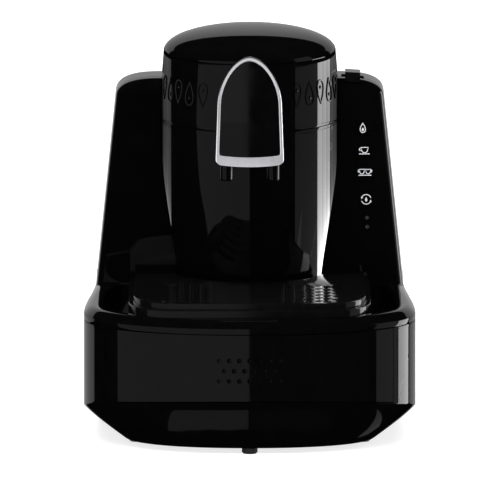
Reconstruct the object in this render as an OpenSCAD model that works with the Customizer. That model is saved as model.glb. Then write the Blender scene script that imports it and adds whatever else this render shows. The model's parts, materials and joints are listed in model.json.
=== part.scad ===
// Electric coffee maker for Turkish coffee: a round brewing tower with a
// hinged lid and a two-nozzle spout, two side wings, a water tank that lifts
// out behind them, a cup platform of adjustable height and a waste drawer.
// Millimetres. X right, Y back, Z up; origin under the middle of the base.

/* [Base] */
// Width of the base at its widest place
base_w = 232; // [224:1:240]
// Depth of the base from front to back
base_d = 270; // [264:1:278]
// Height of the base's outer top edge above the table
base_h = 91.6; // [90:0.2:93]
// Depth of the rounded front, from the foremost point to the widest place
nose_d = 70; // [64:1:76]
// Half width lost between the widest place and the rear corners
tail_in = 7.7; // [6:0.1:9]
// Length over which each side draws in
tail_len = 125; // [110:1:150]
// Radius of the two rear corners
rear_r = 30; // [24:1:36]
// Height of the crease at the foremost point
crease_h = 39.2; // [36:0.2:40]
// Fall of the crease towards the back, in degrees
crease_tilt = 11.2; // [9:0.2:13]
// How far the hull's foot lies behind the foremost point
hull_in = 14.7; // [13:0.1:16]
// Width of the hull's foot where its rounded front ends
hull_w = 173.4; // [170:0.2:178]
// Depth of that rounded front of the foot
hull_nose_d = 45.3; // [42:0.1:48]
// Angle at which the foot's sides open towards the back, in degrees
hull_taper = 13.6; // [12:0.2:15]
// How far the foot stays inside the walls farther back
hull_tuck = 2; // [1.5:0.1:3]
// Wall thickness of the moulded housings
wall = 2.5; // [2.2:0.1:2.8]
// Height of the rubber feet
foot_h = 4; // [3:0.1:5]
// Diameter of the rubber feet
foot_dia = 11; // [10:0.5:14]

/* [Deck] */
// Height of the deck's outer rim, below the base's top edge
rim_h = 5; // [4:0.1:6]
// Height of the deck's crown above the table
crown_h = 96.4; // [95.4:0.1:98]
// Width of the sloping band between the rim and the crown
slope_w = 8; // [7:0.5:11]
// Distance from the outline to the edge of the basin
basin_in = 13; // [12:0.2:15]
// Height of the basin's floor
basin_floor = 72; // [71:0.2:73]

/* [Cup platform] */
// Width of the platform's lower step
step_w = 169; // [160:1:175]
// Distance between the platform's rear edge and the wings' front face
step_gap = 12; // [11:0.5:16]
// Distance from the base's foremost point to the platform's front edge
step_front = 15; // [14:0.5:17]
// Width of the tread between the lower and the upper step
tread_w = 3.5; // [2.5:0.5:5]
// Height of the platform's top above the table
platform_h = 106; // [104:0.5:108]
// Height of the upper step
upper_step = 4.5; // [3:0.5:6]
// Height of the platform from its skirt to its top
platform_t = 22; // [20:0.5:22.5]
// Travel of the platform when it is lowered for taller cups
platform_drop = 9; // [6:0.5:9]
// Distance of each cup's centre from the middle
cup_x = 40; // [38:0.5:42]
// Distance between neighbouring drip holes in a row
drip_pitch_x = 7.3; // [6.6:0.1:8]
// Distance between the rows of drip holes
drip_pitch_y = 12.2; // [11:0.1:13]
// Diameter of the drip holes
drip_dia = 3.4; // [2.6:0.1:4]

/* [Waste drawer] */
// Width of the drawer's front
drawer_w = 200; // [190:1:206]
// Thickness of the drawer's front
drawer_t = 3; // [2.5:0.1:3.5]
// Outer width of the waste tray
tray_w = 176; // [166:1:180]
// Distance between the waste tray's back and the wings' front face
tray_gap = 19; // [17:0.5:24]
// Outer height of the waste tray
tray_h = 26; // [22:0.5:27]
// Diameter of the grip dimples in the drawer's front
dimple_dia = 3.4; // [2.8:0.1:4]
// Distance between neighbouring dimples
dimple_pitch = 7.2; // [6.6:0.1:7.6]
// Height of the lowest row of dimples
dimple_h = 54.2; // [50:0.2:58]

/* [Tower] */
// Distance of the tower's axis behind the wings' front face
tower_in = 5; // [3:0.5:7]
// Radius of the tower at the seam below its collar
tower_r = 63; // [61:0.5:64]
// Radius of the tower's foot
tower_foot_r = 50; // [48:0.5:52]
// Radius of the tower at the lid's seam
lid_r = 60.5; // [59:0.5:61.5]
// Height of the seam below the collar
collar_seam = 213; // [211:0.5:216]
// Height of the lid's seam
lid_seam = 260.5; // [258:0.5:263]
// Height of the lid's dome above its seam
dome_h = 17.8; // [16:0.2:21]
// Diameter of the lid's hinge pin
hinge_dia = 4; // [3:0.1:5]
// Widest opening of the lid, in degrees
lid_open = 95; // [80:1:100]

/* [Wings and tank] */
// Depth of the wings
wing_d = 71.5; // [70:0.5:73]
// Height of the wings' crest
wing_h = 241; // [236:0.5:246]
// Width across the wings at their foot
wing_foot_w = 215; // [206:1:217]
// Width across the wings at their crest
wing_top_w = 185.5; // [176:0.5:196]
// Height of the wings' rounded upper corners
wing_r = 12; // [9:0.5:15]
// Width of the wings' rounded upper corners
corner_w = 30; // [20:1:36]
// Distance of the water tank's rim below the wings' rear top edge
tank_drop = 10.4; // [8:0.2:20]
// Width of the water tank
tank_w = 168; // [156:1:172]
// Depth of the water tank
tank_d = 39.5; // [36:0.5:40.5]
// Wall thickness of the water tank
tank_wall = 2.2; // [2:0.1:2.6]
// Distance of the tank's back inside the back of the base
tank_in = 1.6; // [1:0.1:3]

/* [Spout] */
// Width of the spout's arched frame at its foot
spout_w = 48.4; // [44:0.2:52]
// Height of the frame's lower edge above the table
spout_z = 194; // [192:0.5:197]
// Height of the frame's apex above the table
spout_top = 268.6; // [262:0.2:271]
// Distance of the spout's foot in front of the tower's axis
spout_reach = 98; // [96:0.5:101]
// Width of the frame's sides
frame_w = 2.9; // [2.2:0.1:4]
// Height of the frame's lower bar
bar_h = 7.3; // [5:0.1:9]
// Distance of each nozzle from the middle
nozzle_x = 16.3; // [14:0.1:17.5]
// Outer diameter of the nozzles
nozzle_dia = 9.2; // [8:0.1:10]
// Length of the nozzles below the spout
nozzle_len = 10.8; // [8:0.1:13]

/* [Brewing unit] */
// Outer radius of the brewing pot
pot_r = 38; // [34:0.5:39]
// Depth of the brewing pot
pot_h = 42; // [36:0.5:43]
// Thickness of the pot's steel
pot_t = 1.5; // [1:0.1:2]
// Travel of the drain valve
valve_travel = 4; // [3:0.5:5]

/* [Keys] */
// Width of a key
key_w = 12; // [10:0.5:12.5]
// Height of a key
key_h = 10.5; // [8:0.5:11.5]
// Travel of a key
key_travel = 0.8; // [0.5:0.1:1]
// Distances of the four keys below the wings' crest, from the highest
key_drop = [34.6, 50.6, 65.8, 85.4];
// Distance of the keys' column inside the side of the wings' crest
key_in = 12.15; // [11:0.05:13]

/* [Hidden] */
$fn = 64;
// Seam between two outer pieces, running fit of a pin, and play of a loose piece
seam = 0.3;
fit = 0.05;
play = 0.4;
// How far a cut runs past the surface that it opens
past = 1;
BLACK = "#141416";
DARK = "#1c1c1e";
STEEL = "#b8bbc0";
SCREW = "#8a8c90";
RUBBER = "#0c0c0c";
BOARD = "#2f6b3f";

half_w = base_w / 2;
front_y = -base_d / 2;
back_y = base_d / 2;
wide_y = front_y + nose_d;
rear_y = back_y - rear_r;
seam_z = base_h - rim_h;
floor_z = foot_h + wall;
// The hull's slanting sides take more wall
hull_wall = 1.25 * wall;
tank_back = back_y - tank_in;
tank_y = tank_back - tank_d;
wing_back = tank_y - play;
wing_y = wing_back - wing_d;
tower_y = wing_y + tower_in;

// Steps of the outline's nose, flank and rear corner, and the nose's exponent
nose_n = 14;
flank_n = 8;
rear_n = 5;
half_n = nose_n + flank_n + rear_n + 1;
nose_bend = 2.2;
// One point of the right half of the base's outline, moved in by t
function base_pt(i, t) =
    i <= nose_n ? nose_pt(90 * i / nose_n, t)
    : i <= nose_n + flank_n ? flank_pt((i - nose_n) / flank_n, t)
    : i < half_n ? corner_pt(90 * (i - nose_n - flank_n) / rear_n, t)
    : [0, back_y - t];
function nose_pt(f, t) = [
    (half_w - t) * pow(sin(f), 2 / nose_bend),
    wide_y - (nose_d - t) * pow(cos(f), 2 / nose_bend)
];
function flank_pt(s, t) =
    let (along = s * (rear_y - wide_y), e = min(1, along / tail_len))
    [half_w - t - tail_in * e * e * (3 - 2 * e), wide_y + along];
function corner_pt(f, t) = [
    half_w - tail_in - rear_r + (rear_r - t) * cos(f),
    rear_y + (rear_r - t) * sin(f)
];
// A closed outline from its right half, whose first and last points lie in the middle
function both(half) = concat(half, [for (i = [len(half) - 2:-1:1]) [-half[i][0], half[i][1], half[i][2]]]);
function flat(points) = [for (p = points) [p[0], p[1]]];
function level(t, z) = both([for (i = [0:half_n]) [base_pt(i, t)[0], base_pt(i, t)[1], z]]);
function plan(t) = flat(level(t, 0));
function back_to_front(list) = [for (k = [len(list) - 1:-1:0]) list[k]];

// Height of the crease over a place y
crease_low = floor_z + 3;
function crease(y) = max(crease_low, crease_h - (y - front_y) * tan(crease_tilt));
// One point of the right half of the hull's foot, moved in by t
hull_y = front_y + hull_in + hull_nose_d;
function foot_pt(i, t) =
    i <= nose_n ? foot_nose_pt(90 * i / nose_n, t)
    : i <= nose_n + flank_n ? foot_side_pt((i - nose_n) / flank_n, t)
    : i < half_n ? corner_pt(90 * (i - nose_n - flank_n) / rear_n, t + hull_tuck)
    : [0, back_y - t - hull_tuck];
function foot_nose_pt(f, t) = [
    (hull_w / 2 - t) * pow(sin(f), 2 / nose_bend),
    hull_y - (hull_nose_d - t) * pow(cos(f), 2 / nose_bend)
];
function foot_side_pt(s, t) =
    let (y = hull_y + s * (rear_y - hull_y), e = max(0, (y - wide_y) / (rear_y - wide_y)))
    [min(hull_w / 2 + (y - hull_y) * tan(hull_taper), flank_pt(e, hull_tuck)[0]) - t, y];
// A ring of the hull: up runs from 0 at its foot to 1 at the crease, share from 0 on the wall to 1 on the foot
function hull_pt(i, up, share, t) =
    let (c = crease(base_pt(i, 0)[1]), p = base_pt(i, t) * (1 - share) + foot_pt(i, t) * share)
    [p[0], p[1], foot_h + up * (c - foot_h)];
function hull_ring(up, share, t) = both([for (i = [0:half_n]) hull_pt(i, up, share, t)]);
function hull_floor(t, z) = [for (p = hull_ring(0, 1, t)) [p[0], p[1], z]];

// Closed skin through rings of equal length, anticlockwise as seen from the last ring
module loft(rings) {
    n = len(rings[0]);
    last = (len(rings) - 1) * n;
    sides = [for (k = [0:len(rings) - 2], i = [0:n - 1])
        let (a = k * n + i, d = k * n + (i + 1) % n)
        each [[a, a + n, d + n], [a, d + n, d]]];
    polyhedron(
        points = [for (r = rings) each r],
        faces = concat([[for (i = [0:n - 1]) i]], sides, [[for (i = [n - 1:-1:0]) last + i]]),
        convexity = 8);
}
// Rectangle about x = 0 from y0 to y1, with radius rf on its front and rr on its rear corners
function arc(cx, cy, r, from, n = 6) = [for (k = [0:n])
    [cx + r * cos(from + 90 * k / n), cy + r * sin(from + 90 * k / n)]];
function tile(w, y0, y1, rf, rr) = concat(
    arc(w / 2 - rf, y0 + rf, rf, -90), arc(w / 2 - rr, y1 - rr, rr, 0),
    arc(rr - w / 2, y1 - rr, rr, 90), arc(rf - w / 2, y0 + rf, rf, 180));
module block(w, y0, y1, r, z0, z1, rr = undef)
    translate([0, 0, z0]) linear_extrude(z1 - z0) polygon(tile(w, y0, y1, r, is_undef(rr) ? r : rr));
module box(a, b) translate(a) cube(b - a);
// Cylinders of radius r that stand, or lie along y or x
module rod(r, z0, z1, x = 0, y = 0, fn = 48) translate([x, y, z0]) cylinder(r = r, h = z1 - z0, $fn = fn);
module rod_y(r, y0, y1, x = 0, z = 0, fn = 48)
    translate([x, y0, z]) rotate([-90, 0, 0]) cylinder(r = r, h = y1 - y0, $fn = fn);
module rod_x(r, x0, x1, y = 0, z = 0, fn = 48)
    translate([x0, y, z]) rotate([0, 90, 0]) cylinder(r = r, h = x1 - x0, $fn = fn);
module both_sides() {
    children();
    mirror([1, 0, 0]) children();
}
// The children at each of the places
module at_each(places) for (p = places) translate([p[0], p[1], 0]) children();
// The same places on the left and on the right
function mirrored(places) = [for (s = [-1, 1], p = places) [s * p[0], p[1]]];

// Wedge that holds everything above the crease, raised by up
module above_crease(up) {
    rise = up / cos(crease_tilt);
    drop = base_d * tan(crease_tilt);
    rotate([90, 0, 90]) translate([0, 0, -base_w]) linear_extrude(2 * base_w) polygon([
        [front_y - tread_w, crease_h + rise + tread_w * tan(crease_tilt)],
        [back_y, crease_h + rise - drop],
        [back_y, base_h * 2],
        [front_y - tread_w, base_h * 2]]);
}
drawer_back = wide_y - 5;
// The tray runs just above the crease, on a plate
tray_lift = 1.8;
tray_z = crease_h + tray_lift;
tray_back = wing_y - tray_gap;
plate_z = tray_z - play - wall;
plate_top = plate_z + wall;
// Well in the housing's floor
well_w = 116;
well_d = 150;
well_y = 8;
well_r = 8;
well_y0 = well_y - well_d / 2;
well_y1 = well_y + well_d / 2;
// Feet: one in front, two beside the cups, two behind
foot_stem_r = 4;
foot_sole = 0.8;
foot_places = concat([[0, front_y + 19.5]], mirrored([[half_w - 37, wide_y - 4], [half_w - 54, back_y - 34]]));
// Switch and bush of the mains lead in the back wall
switch_x = half_w - 56;
switch_z = 48;
switch_w = 22;
switch_h = 15;
switch_deep = 16;
gland_x = -switch_x;
gland_z = 30;
gland_r = 8;
gland_len = 8;
back_cut = back_y - wall - 9.5;

module base_housing() {
    color(BLACK) difference() {
        loft([
            hull_ring(0, 1, 0), hull_ring(0.06, 0.93, 0), hull_ring(0.5, 0.435, 0),
            hull_ring(0.8, 0.16, 0), hull_ring(1, 0, 0), level(0, seam_z), level(wall, seam_z),
            hull_ring(1, 0, wall), hull_ring(0.6, 0.34, hull_wall), hull_floor(hull_wall, floor_z)]);
        // Mouth of the waste drawer
        intersection() {
            above_crease(0);
            box([-drawer_w / 2 - seam, front_y - tread_w, 0], [drawer_w / 2 + seam, drawer_back, base_h]);
        }
        // Well in the floor that the bottom plate closes
        block(well_w, well_y0, well_y1, well_r, 0, floor_z + past);
        at_each(foot_places) rod(foot_stem_r, 0, floor_z + past);
        translate([switch_x, 0, switch_z])
            box([-switch_w / 2, back_cut, -switch_h / 2], [switch_w / 2, back_y + past, switch_h / 2]);
        rod_y(gland_r, back_cut, back_y + past, gland_x, gland_z);
    }
}
plate_lap = 8;
plate_lap_t = 2;
screw_r = 1.6;
screw_head_r = 3;
screw_head = 2;
screw_in = 16;
screw_places = mirrored([for (y = [well_y0 + screw_in, well_y1 - screw_in]) [(well_w + plate_lap) / 2, y]]);
air_slots = 9;
air_pitch = 9;
air_w = 3;
air_len = 48;
under_plate = foot_h - past;
// The plate fills the well and laps over the floor inside
module bottom_plate() {
    color(DARK) difference() {
        union() {
            block(well_w, well_y0, well_y1, well_r, foot_h, floor_z);
            block(well_w + 2 * plate_lap, well_y0 - plate_lap, well_y1 + plate_lap, well_r + plate_lap / 2,
                floor_z, floor_z + plate_lap_t);
        }
        at_each(screw_places) rod(screw_r, foot_h, floor_z + plate_lap_t + past);
        for (k = [0:air_slots - 1]) translate([0, well_y + (k - (air_slots - 1) / 2) * air_pitch, under_plate])
            box([-air_len / 2, -air_w / 2, 0], [air_len / 2, air_w / 2, foot_h + floor_z]);
    }
}
module rubber_feet() {
    color(RUBBER) at_each(foot_places) {
        rod(foot_dia / 2, foot_sole, foot_h);
        rod(foot_dia / 2 - foot_sole, 0, foot_sole);
        rod(foot_stem_r, foot_h, floor_z);
    }
}
// Screws through the housing's floor into the plate's lap
module bottom_screws() {
    color(SCREW) at_each(screw_places) {
        difference() {
            rod(screw_head_r, foot_h - screw_head, foot_h);
            rod(screw_head_r * 0.45, foot_h - screw_head - past, foot_h - screw_head / 2, 0, 0, 6);
        }
        rod(screw_r, floor_z, floor_z + plate_lap_t);
    }
}
post_r = 5;
post_places = mirrored([[half_w - 40, wide_y - 5], [half_w - 44, rear_y - 13]]);
rail_h = 12;
rail_y0 = wide_y - 26;
rail_past = 8;
stop_w = 80;
stop_h = 8;
wire_hole_r = 9;
wire_holes = mirrored([[30, rear_y - 20]]);
// Plate over the floor that carries the drawer, the pump and the board
module inner_chassis() {
    color("#2a2b2e") {
        translate([0, 0, plate_z]) linear_extrude(wall) difference() {
            intersection() {
                polygon(plan(drawer_t + play));
                // The front edge stays inside the hull's rim
                translate([-half_w, front_y + 3 * wall]) square([base_w, rear_y - front_y - 3 * wall]);
            }
            at_each(wire_holes) circle(r = wire_hole_r);
        }
        at_each(post_places) rod(post_r, floor_z, plate_z);
        // Side rails of the tray, and the stop behind it
        both_sides() box([tray_w / 2 + play, rail_y0, plate_top],
            [tray_w / 2 + play + wall, tray_back + rail_past, plate_top + rail_h]);
        box([-stop_w / 2, tray_back + play, plate_top],
            [stop_w / 2, tray_back + play + wall, plate_top + stop_h]);
    }
}
// Basin of the deck, seen from above and moved out by t, with the island for the tower
island_r = tower_foot_r + 3;
basin_gap = 0.8;
basin_back = wing_y - 2;
step_r = 34;
step_y = front_y + step_front;
step_back = wing_y - step_gap;
module basin_plan(t) difference() {
    union() {
        polygon(plan(basin_in - t));
        polygon(tile(step_w + 2 * (basin_gap + t), step_y - basin_gap - t, basin_back + past,
            step_r + basin_gap + t, past));
    }
    translate([-half_w, basin_back + t]) square([base_w, base_d]);
    translate([0, tower_y]) circle(r = island_r - t);
}
tub_z = basin_floor - wall;
tower_hole_r = tower_foot_r - wall - 0.5;
drain_y = step_y + 21;
drain_r = 5;
lip = 0.6;
duct_in = 6;
duct_side = 24;
duct_front = 10;
duct_back = 8;
duct_x0 = tower_foot_r + duct_in;
under_deck = base_h - 8;
rim_top = base_h - 2 * lip;
deck_rings = [level(0, rim_top), level(lip, base_h), for (f = [0.25, 0.5, 0.75, 1])
    level(lip + (slope_w - lip) * f, crown_h - (crown_h - base_h) * pow(1 - f, 2))];
// Everything under the deck's upper face, for what stands on its sloping edge
module under_slope() loft(concat([level(0, rim_top - wall)], deck_rings));
module deck() {
    color(BLACK) difference() {
        union() {
            loft(concat([
                level(slope_w + wall, crown_h - wall), level(wall + past, base_h - wall),
                level(wall, seam_z + seam), level(0, seam_z + seam)], deck_rings));
            translate([0, 0, tub_z]) linear_extrude(crown_h - past - tub_z) basin_plan(wall);
        }
        translate([0, 0, basin_floor]) linear_extrude(base_h) basin_plan(0);
        rod(tower_hole_r, tub_z - past, crown_h + past, 0, tower_y, 96);
        // Ducts for wires and hoses under the wings and under the tank's seat
        both_sides() box([duct_x0, wing_y + duct_front, under_deck],
            [wing_foot_w / 2 - duct_side, wing_back - duct_back, crown_h + past]);
        rod(spigot_r + play, under_deck, crown_h + past, spigot_x, spigot_y);
        // Drain into the waste tray
        rod(drain_r, tub_z - past, basin_floor + past, 0, drain_y);
    }
}
guide_r = 3;
guide_bore = 8;
guide_bore_r = 1.2;
guide_cover = 4;
guide_top = platform_h - guide_cover;
guide_places = concat([[0, drain_y + 20]], mirrored([[step_w / 2 - 18.5, step_back - 10]]));
sleeve_r = guide_r + 2;
module guide_posts() {
    color(STEEL) at_each(guide_places) difference() {
        rod(guide_r, basin_floor, guide_top - platform_drop - past);
        rod(guide_bore_r, basin_floor - past, basin_floor + guide_bore);
    }
}
platform_z = platform_h - platform_t;
bite_r = island_r + 4;
drip_columns = 5;
drip_y0 = step_y + tread_w + 7.6;
drip_rows = 1 + floor((tower_y - island_r - 20 - drip_y0) / drip_pitch_y);
skirt_r = 8;
module upper_tread(t, z0, z1)
    block(step_w - 2 * tread_w - 2 * t, step_y + tread_w + t, step_back - tread_w - t, step_r - 2 - t, z0, z1,
        skirt_r - 1 - t);
// Stepped platform: skirt, two treads, drip holes under each cup and sleeves on the guide posts
module cup_platform() {
    color("#101012") difference() {
        union() {
            difference() {
                union() {
                    block(step_w, step_y, step_back, step_r, platform_z, platform_h - upper_step, skirt_r);
                    upper_tread(0, platform_h - upper_step, platform_h);
                }
                upper_tread(wall, platform_z - past, platform_h - wall);
            }
            // Wall around the tower's island
            intersection() {
                rod(bite_r + wall, platform_z, platform_h, 0, tower_y, 96);
                upper_tread(0, platform_z, platform_h);
            }
            at_each(guide_places) rod(sleeve_r, platform_z, platform_h - wall / 2);
        }
        rod(bite_r, platform_z - past, platform_h + past, 0, tower_y, 96);
        at_each(guide_places) rod(guide_r + fit, platform_z - past, guide_top);
        for (s = [-1, 1], c = [0:drip_columns - 1], r = [0:drip_rows - 1])
            rod(drip_dia / 2, platform_h - wall - past, platform_h + past,
                s * cup_x + (c - (drip_columns - 1) / 2) * drip_pitch_x, drip_y0 + r * drip_pitch_y, 24);
    }
}
dimple_rows = [7, 6, 7];
dimple_deep = 1.1;
// Curved front of the drawer with its grip dimples
module drawer_front() {
    color(BLACK) difference() {
        intersection() {
            linear_extrude(seam_z) difference() {
                polygon(plan(0));
                polygon(plan(drawer_t));
            }
            above_crease(play);
            box([-drawer_w / 2, front_y - past, 0], [drawer_w / 2, drawer_back - past, seam_z]);
        }
        for (r = [0:len(dimple_rows) - 1], k = [0:dimple_rows[r] - 1])
            rod_y(dimple_dia / 2, front_y - past, front_y + dimple_deep,
                (k - (dimple_rows[r] - 1) / 2) * dimple_pitch, dimple_h + r * dimple_pitch, 24);
    }
}
tray_wall = 2;
// Open tray, clipped to the inside of the drawer's front
module waste_tray() {
    color("#2c2d30") difference() {
        tray_body(0, tray_z, tray_z + tray_h);
        tray_body(tray_wall, tray_z + tray_wall, tray_z + tray_h + past);
    }
}
module tray_body(t, z0, z1) translate([0, 0, z0]) linear_extrude(z1 - z0) intersection() {
    polygon(plan(drawer_t + t));
    translate([t - tray_w / 2, front_y]) square([tray_w - 2 * t, tray_back - front_y - t]);
}

// Rear housing with the two wings. A ring stands across the depth, at place y,
// with its crest at height z and moved in by t.
wing_lean = (wing_foot_w - wing_top_w) / 2 / (wing_h - crown_h);
function wing_half(z, t) = wing_foot_w / 2 - t - wing_lean * (z - crown_h);
corner_n = 9;
corner_bend = 2.2;
function wing_ring(y, z, t, foot) =
    let (w = corner_w - t, c = wing_half(z - wing_r, t) - w, n = corner_n, bend = 2 / corner_bend,
        half = [for (k = [0:n])
            [c + w * pow(cos(90 * k / n), bend), z - wing_r + (wing_r - t) * pow(sin(90 * k / n), bend)]])
    concat([[wing_half(foot, t), y, foot], [-wing_half(foot, t), y, foot]],
        [for (k = [0:n]) [-half[k][0], y, half[k][1]]],
        [for (k = [n:-1:0]) [half[k][0], y, half[k][1]]]);
crest_d = 30;
crest_fall = 0.2;
wing_back_h = wing_h - (wing_d - crest_d) * crest_fall;
wing_edge = 3;
// Radius of the tower at height z: flared below the collar's seam, nearly straight above it
function tower_rad(z) = z < collar_seam
    ? tower_foot_r + (tower_r - tower_foot_r) * pow(sin(90 * (z - crown_h) / (collar_seam - crown_h)), 1.3)
    : tower_r - (tower_r - lid_r) * pow((z - collar_seam) / (lid_seam - collar_seam), 1.6);
tower_steps = 10;
below_seam = 0.01;
function tower_line(z0, z1, t) = [for (k = [0:tower_steps])
    let (z = z0 + (z1 - z0) * k / tower_steps) [tower_rad(z) + t, z]];
module tower_core(t, z1) translate([0, tower_y, 0]) rotate_extrude($fn = 128) polygon(concat(
    [[0, crown_h - past], [tower_foot_r + t, crown_h - past]],
    tower_line(crown_h, collar_seam - below_seam, t), tower_line(collar_seam, z1, t), [[0, z1]]));
module tower_wall(z0, z1) translate([0, tower_y, 0]) rotate_extrude($fn = 128)
    polygon(concat(tower_line(z0, z1, 0), back_to_front(tower_line(z0, z1, -wall))));
// Keys and indicator lenses in the right wing
key_x = wing_top_w / 2 - key_in;
key_z = [for (d = key_drop) wing_h - d];
key_gap = 0.2;
led_drop = [98.6, 105.2];
led_out = [1.9, 2.1];
led_places = [for (k = [0, 1]) [key_x + led_out[k], wing_h - led_drop[k]]];
led_r = 1.5;
// Measuring spoon, hung in a pocket in the right wing's crest
spoon_in = 20.45;
spoon_x = wing_top_w / 2 - spoon_in;
spoon_w = 10.6;
spoon_slot_w = 16;
spoon_slot_d = 12;
spoon_slot_in = 11.5;
spoon_slot_y = wing_y + spoon_slot_in;
pocket_h = 111;
pocket_z = wing_h - pocket_h;
// Screws that hold the panel at the wings' back
panel_t = 2.5;
panel_gap = 0.2;
screw_side = 6.5;
screw_boss_r = 3.4;
screw_core_r = 1.3;
screw_len = 10;
cap_r = 3.2;
cap_t = 1.6;
screw_z = [crown_h + 2 * screw_side + 3, wing_back_h - 11];
// The children at the panel's screws
module at_screws() for (s = [-1, 1], z = screw_z)
    translate([s * (wing_half(z, 0) - screw_side), 0, z]) children();
module wing_block() loft([
    wing_ring(wing_y, wing_h, 0.9 * wing_edge, rim_top),
    wing_ring(wing_y + 0.3 * wing_edge, wing_h, 0.4 * wing_edge, rim_top),
    wing_ring(wing_y + wing_edge, wing_h, 0, rim_top),
    wing_ring(wing_y + crest_d, wing_h, 0, rim_top),
    wing_ring(wing_back - wing_edge / 2, wing_back_h, 0, rim_top),
    wing_ring(wing_back, wing_back_h, wing_edge / 2, rim_top)]);
module rear_housing() {
    color(BLACK) difference() {
        union() {
            difference() {
                wing_block();
                loft([
                    wing_ring(wing_y + wall, wing_h, wall, rim_top - past),
                    wing_ring(wing_y + crest_d, wing_h, wall, rim_top - past),
                    wing_ring(wing_back + past, wing_back_h, wall, rim_top - past)]);
            }
            // Pocket of the measuring spoon, hung from the crest
            intersection() {
                box([spoon_x - spoon_slot_w / 2 - wall, spoon_slot_y - wall, pocket_z],
                    [spoon_x + spoon_slot_w / 2 + wall, spoon_slot_y + spoon_slot_d + wall, wing_h]);
                wing_block();
            }
            at_screws() rod_y(screw_boss_r, wing_y + wall / 2, wing_back - panel_t);
        }
        under_slope();
        tower_core(seam, wing_h + tower_r);
        box([spoon_x - spoon_slot_w / 2, spoon_slot_y, pocket_z + wall],
            [spoon_x + spoon_slot_w / 2, spoon_slot_y + spoon_slot_d, wing_h + past]);
        for (z = key_z) translate([key_x, 0, z])
            box([-key_w / 2 - key_gap, wing_y - past, -key_h / 2 - key_gap],
                [key_w / 2 + key_gap, wing_y + wall + past, key_h / 2 + key_gap]);
        for (p = led_places) rod_y(led_r, wing_y - past, wing_y + wall + past, p[0], p[1], 24);
        at_screws() rod_y(screw_core_r, wing_back - screw_len - 2, wing_back + past, 0, 0, 24);
    }
}
vents = 11;
vent_pitch = 8;
vent_w = 3;
vent_z = [crown_h + 16, crown_h + 54];
// Panel that closes the rear housing in front of the tank
module back_panel() {
    rim = wall + panel_gap;
    color(DARK) difference() {
        loft([
            wing_ring(wing_back - panel_t, wing_back_h, rim, rim_top),
            wing_ring(wing_back, wing_back_h, rim, rim_top)]);
        translate([0, 0, panel_gap]) under_slope();
        at_screws() rod_y(screw_core_r + 0.5, wing_back - 2 * panel_t, wing_back + past, 0, 0, 24);
        for (k = [0:vents - 1]) translate([(k - (vents - 1) / 2) * vent_pitch, 0, 0])
            box([-vent_w / 2, wing_back - 2 * panel_t, vent_z[0]], [vent_w / 2, wing_back + past, vent_z[1]]);
    }
}
module housing_screws() {
    color(SCREW) at_screws() {
        difference() {
            rod_y(cap_r, wing_back, wing_back + cap_t);
            rod_y(cap_r * 0.44, wing_back + cap_t / 3, wing_back + cap_t + past, 0, 0, 6);
        }
        rod_y(screw_core_r, wing_back - screw_len, wing_back, 0, 0, 24);
    }
}
hinge_r = hinge_dia / 2;
hinge_y = tower_y + lid_r;
hinge_z = lid_seam - 3.5;
knuckle_r = hinge_r + 2;
lug_w = 24;
ear_w = 5;
ear_deep = 12;
manifold_h = 8;
manifold_w = 14;
manifold_lift = 2.6;
manifold_z = spout_z + manifold_lift + manifold_h / 2;
hatch_w = 32;
hatch_z = [crown_h + 12, crown_h + 50];
module tower_shell() {
    color(BLACK) difference() {
        tower_wall(crown_h, collar_seam - below_seam);
        // Passage of the spout's channel, and an opening for wires at the back
        box([-manifold_w / 2 - play, -base_d, manifold_z - manifold_h / 2 - play],
            [manifold_w / 2 + play, tower_y - tower_foot_r / 2, manifold_z + manifold_h / 2 + play]);
        box([-hatch_w / 2, tower_y + tower_foot_r / 2, hatch_z[0]], [hatch_w / 2, base_d, hatch_z[1]]);
    }
}
rim_z = lid_seam - 6.5;
flange_t = 2;
flange_z = rim_z - flange_t;
ledge_r = 52;
ledge_t = 2;
ledge_foot = 7;
module tower_collar() {
    ear_x0 = lug_w / 2 + seam;
    color(BLACK) difference() {
        union() {
            tower_wall(collar_seam + seam, lid_seam - 0.2);
            // Ledge under the pot's flange
            translate([0, tower_y, 0]) rotate_extrude($fn = 96) polygon([
                [ledge_r, flange_z], [ledge_r, flange_z - ledge_t], [lid_r, flange_z - ledge_foot],
                [lid_r, flange_z]]);
            both_sides() {
                box([ear_x0, hinge_y - knuckle_r, hinge_z - ear_deep],
                    [ear_x0 + ear_w, hinge_y + knuckle_r, hinge_z]);
                rod_x(knuckle_r, ear_x0, ear_x0 + ear_w, hinge_y, hinge_z);
            }
        }
        rod_x(hinge_r, -lug_w, lug_w, hinge_y, hinge_z);
        // Notch for the lid's lug
        box([-ear_x0, hinge_y - ear_deep, hinge_z - knuckle_r - past],
            [ear_x0, hinge_y + ear_deep, lid_seam + past]);
        box([-lug_w, hinge_y - ear_deep - 2, flange_z], [lug_w, hinge_y - knuckle_r - 1.2, lid_seam + past]);
    }
}
lid_lift = 0.2;
dome_steps = 15;
dome_bend = 2.1;
function dome_line(t) = [for (k = [0:dome_steps])
    let (f = 90 * k / dome_steps, bend = 2 / dome_bend)
    [(lid_r - t) * pow(cos(f), bend), lid_seam + lid_lift + (dome_h - t) * pow(sin(f), bend)]];
seal_r = 56.4;
seal_w = 4;
seal_h = 2.6;
seal_z = rim_z + 0.3;
seal_top = seal_z + seal_h;
rib_out = 5.5;
rib_in = 8.4;
lug_up = 1.4;
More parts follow.
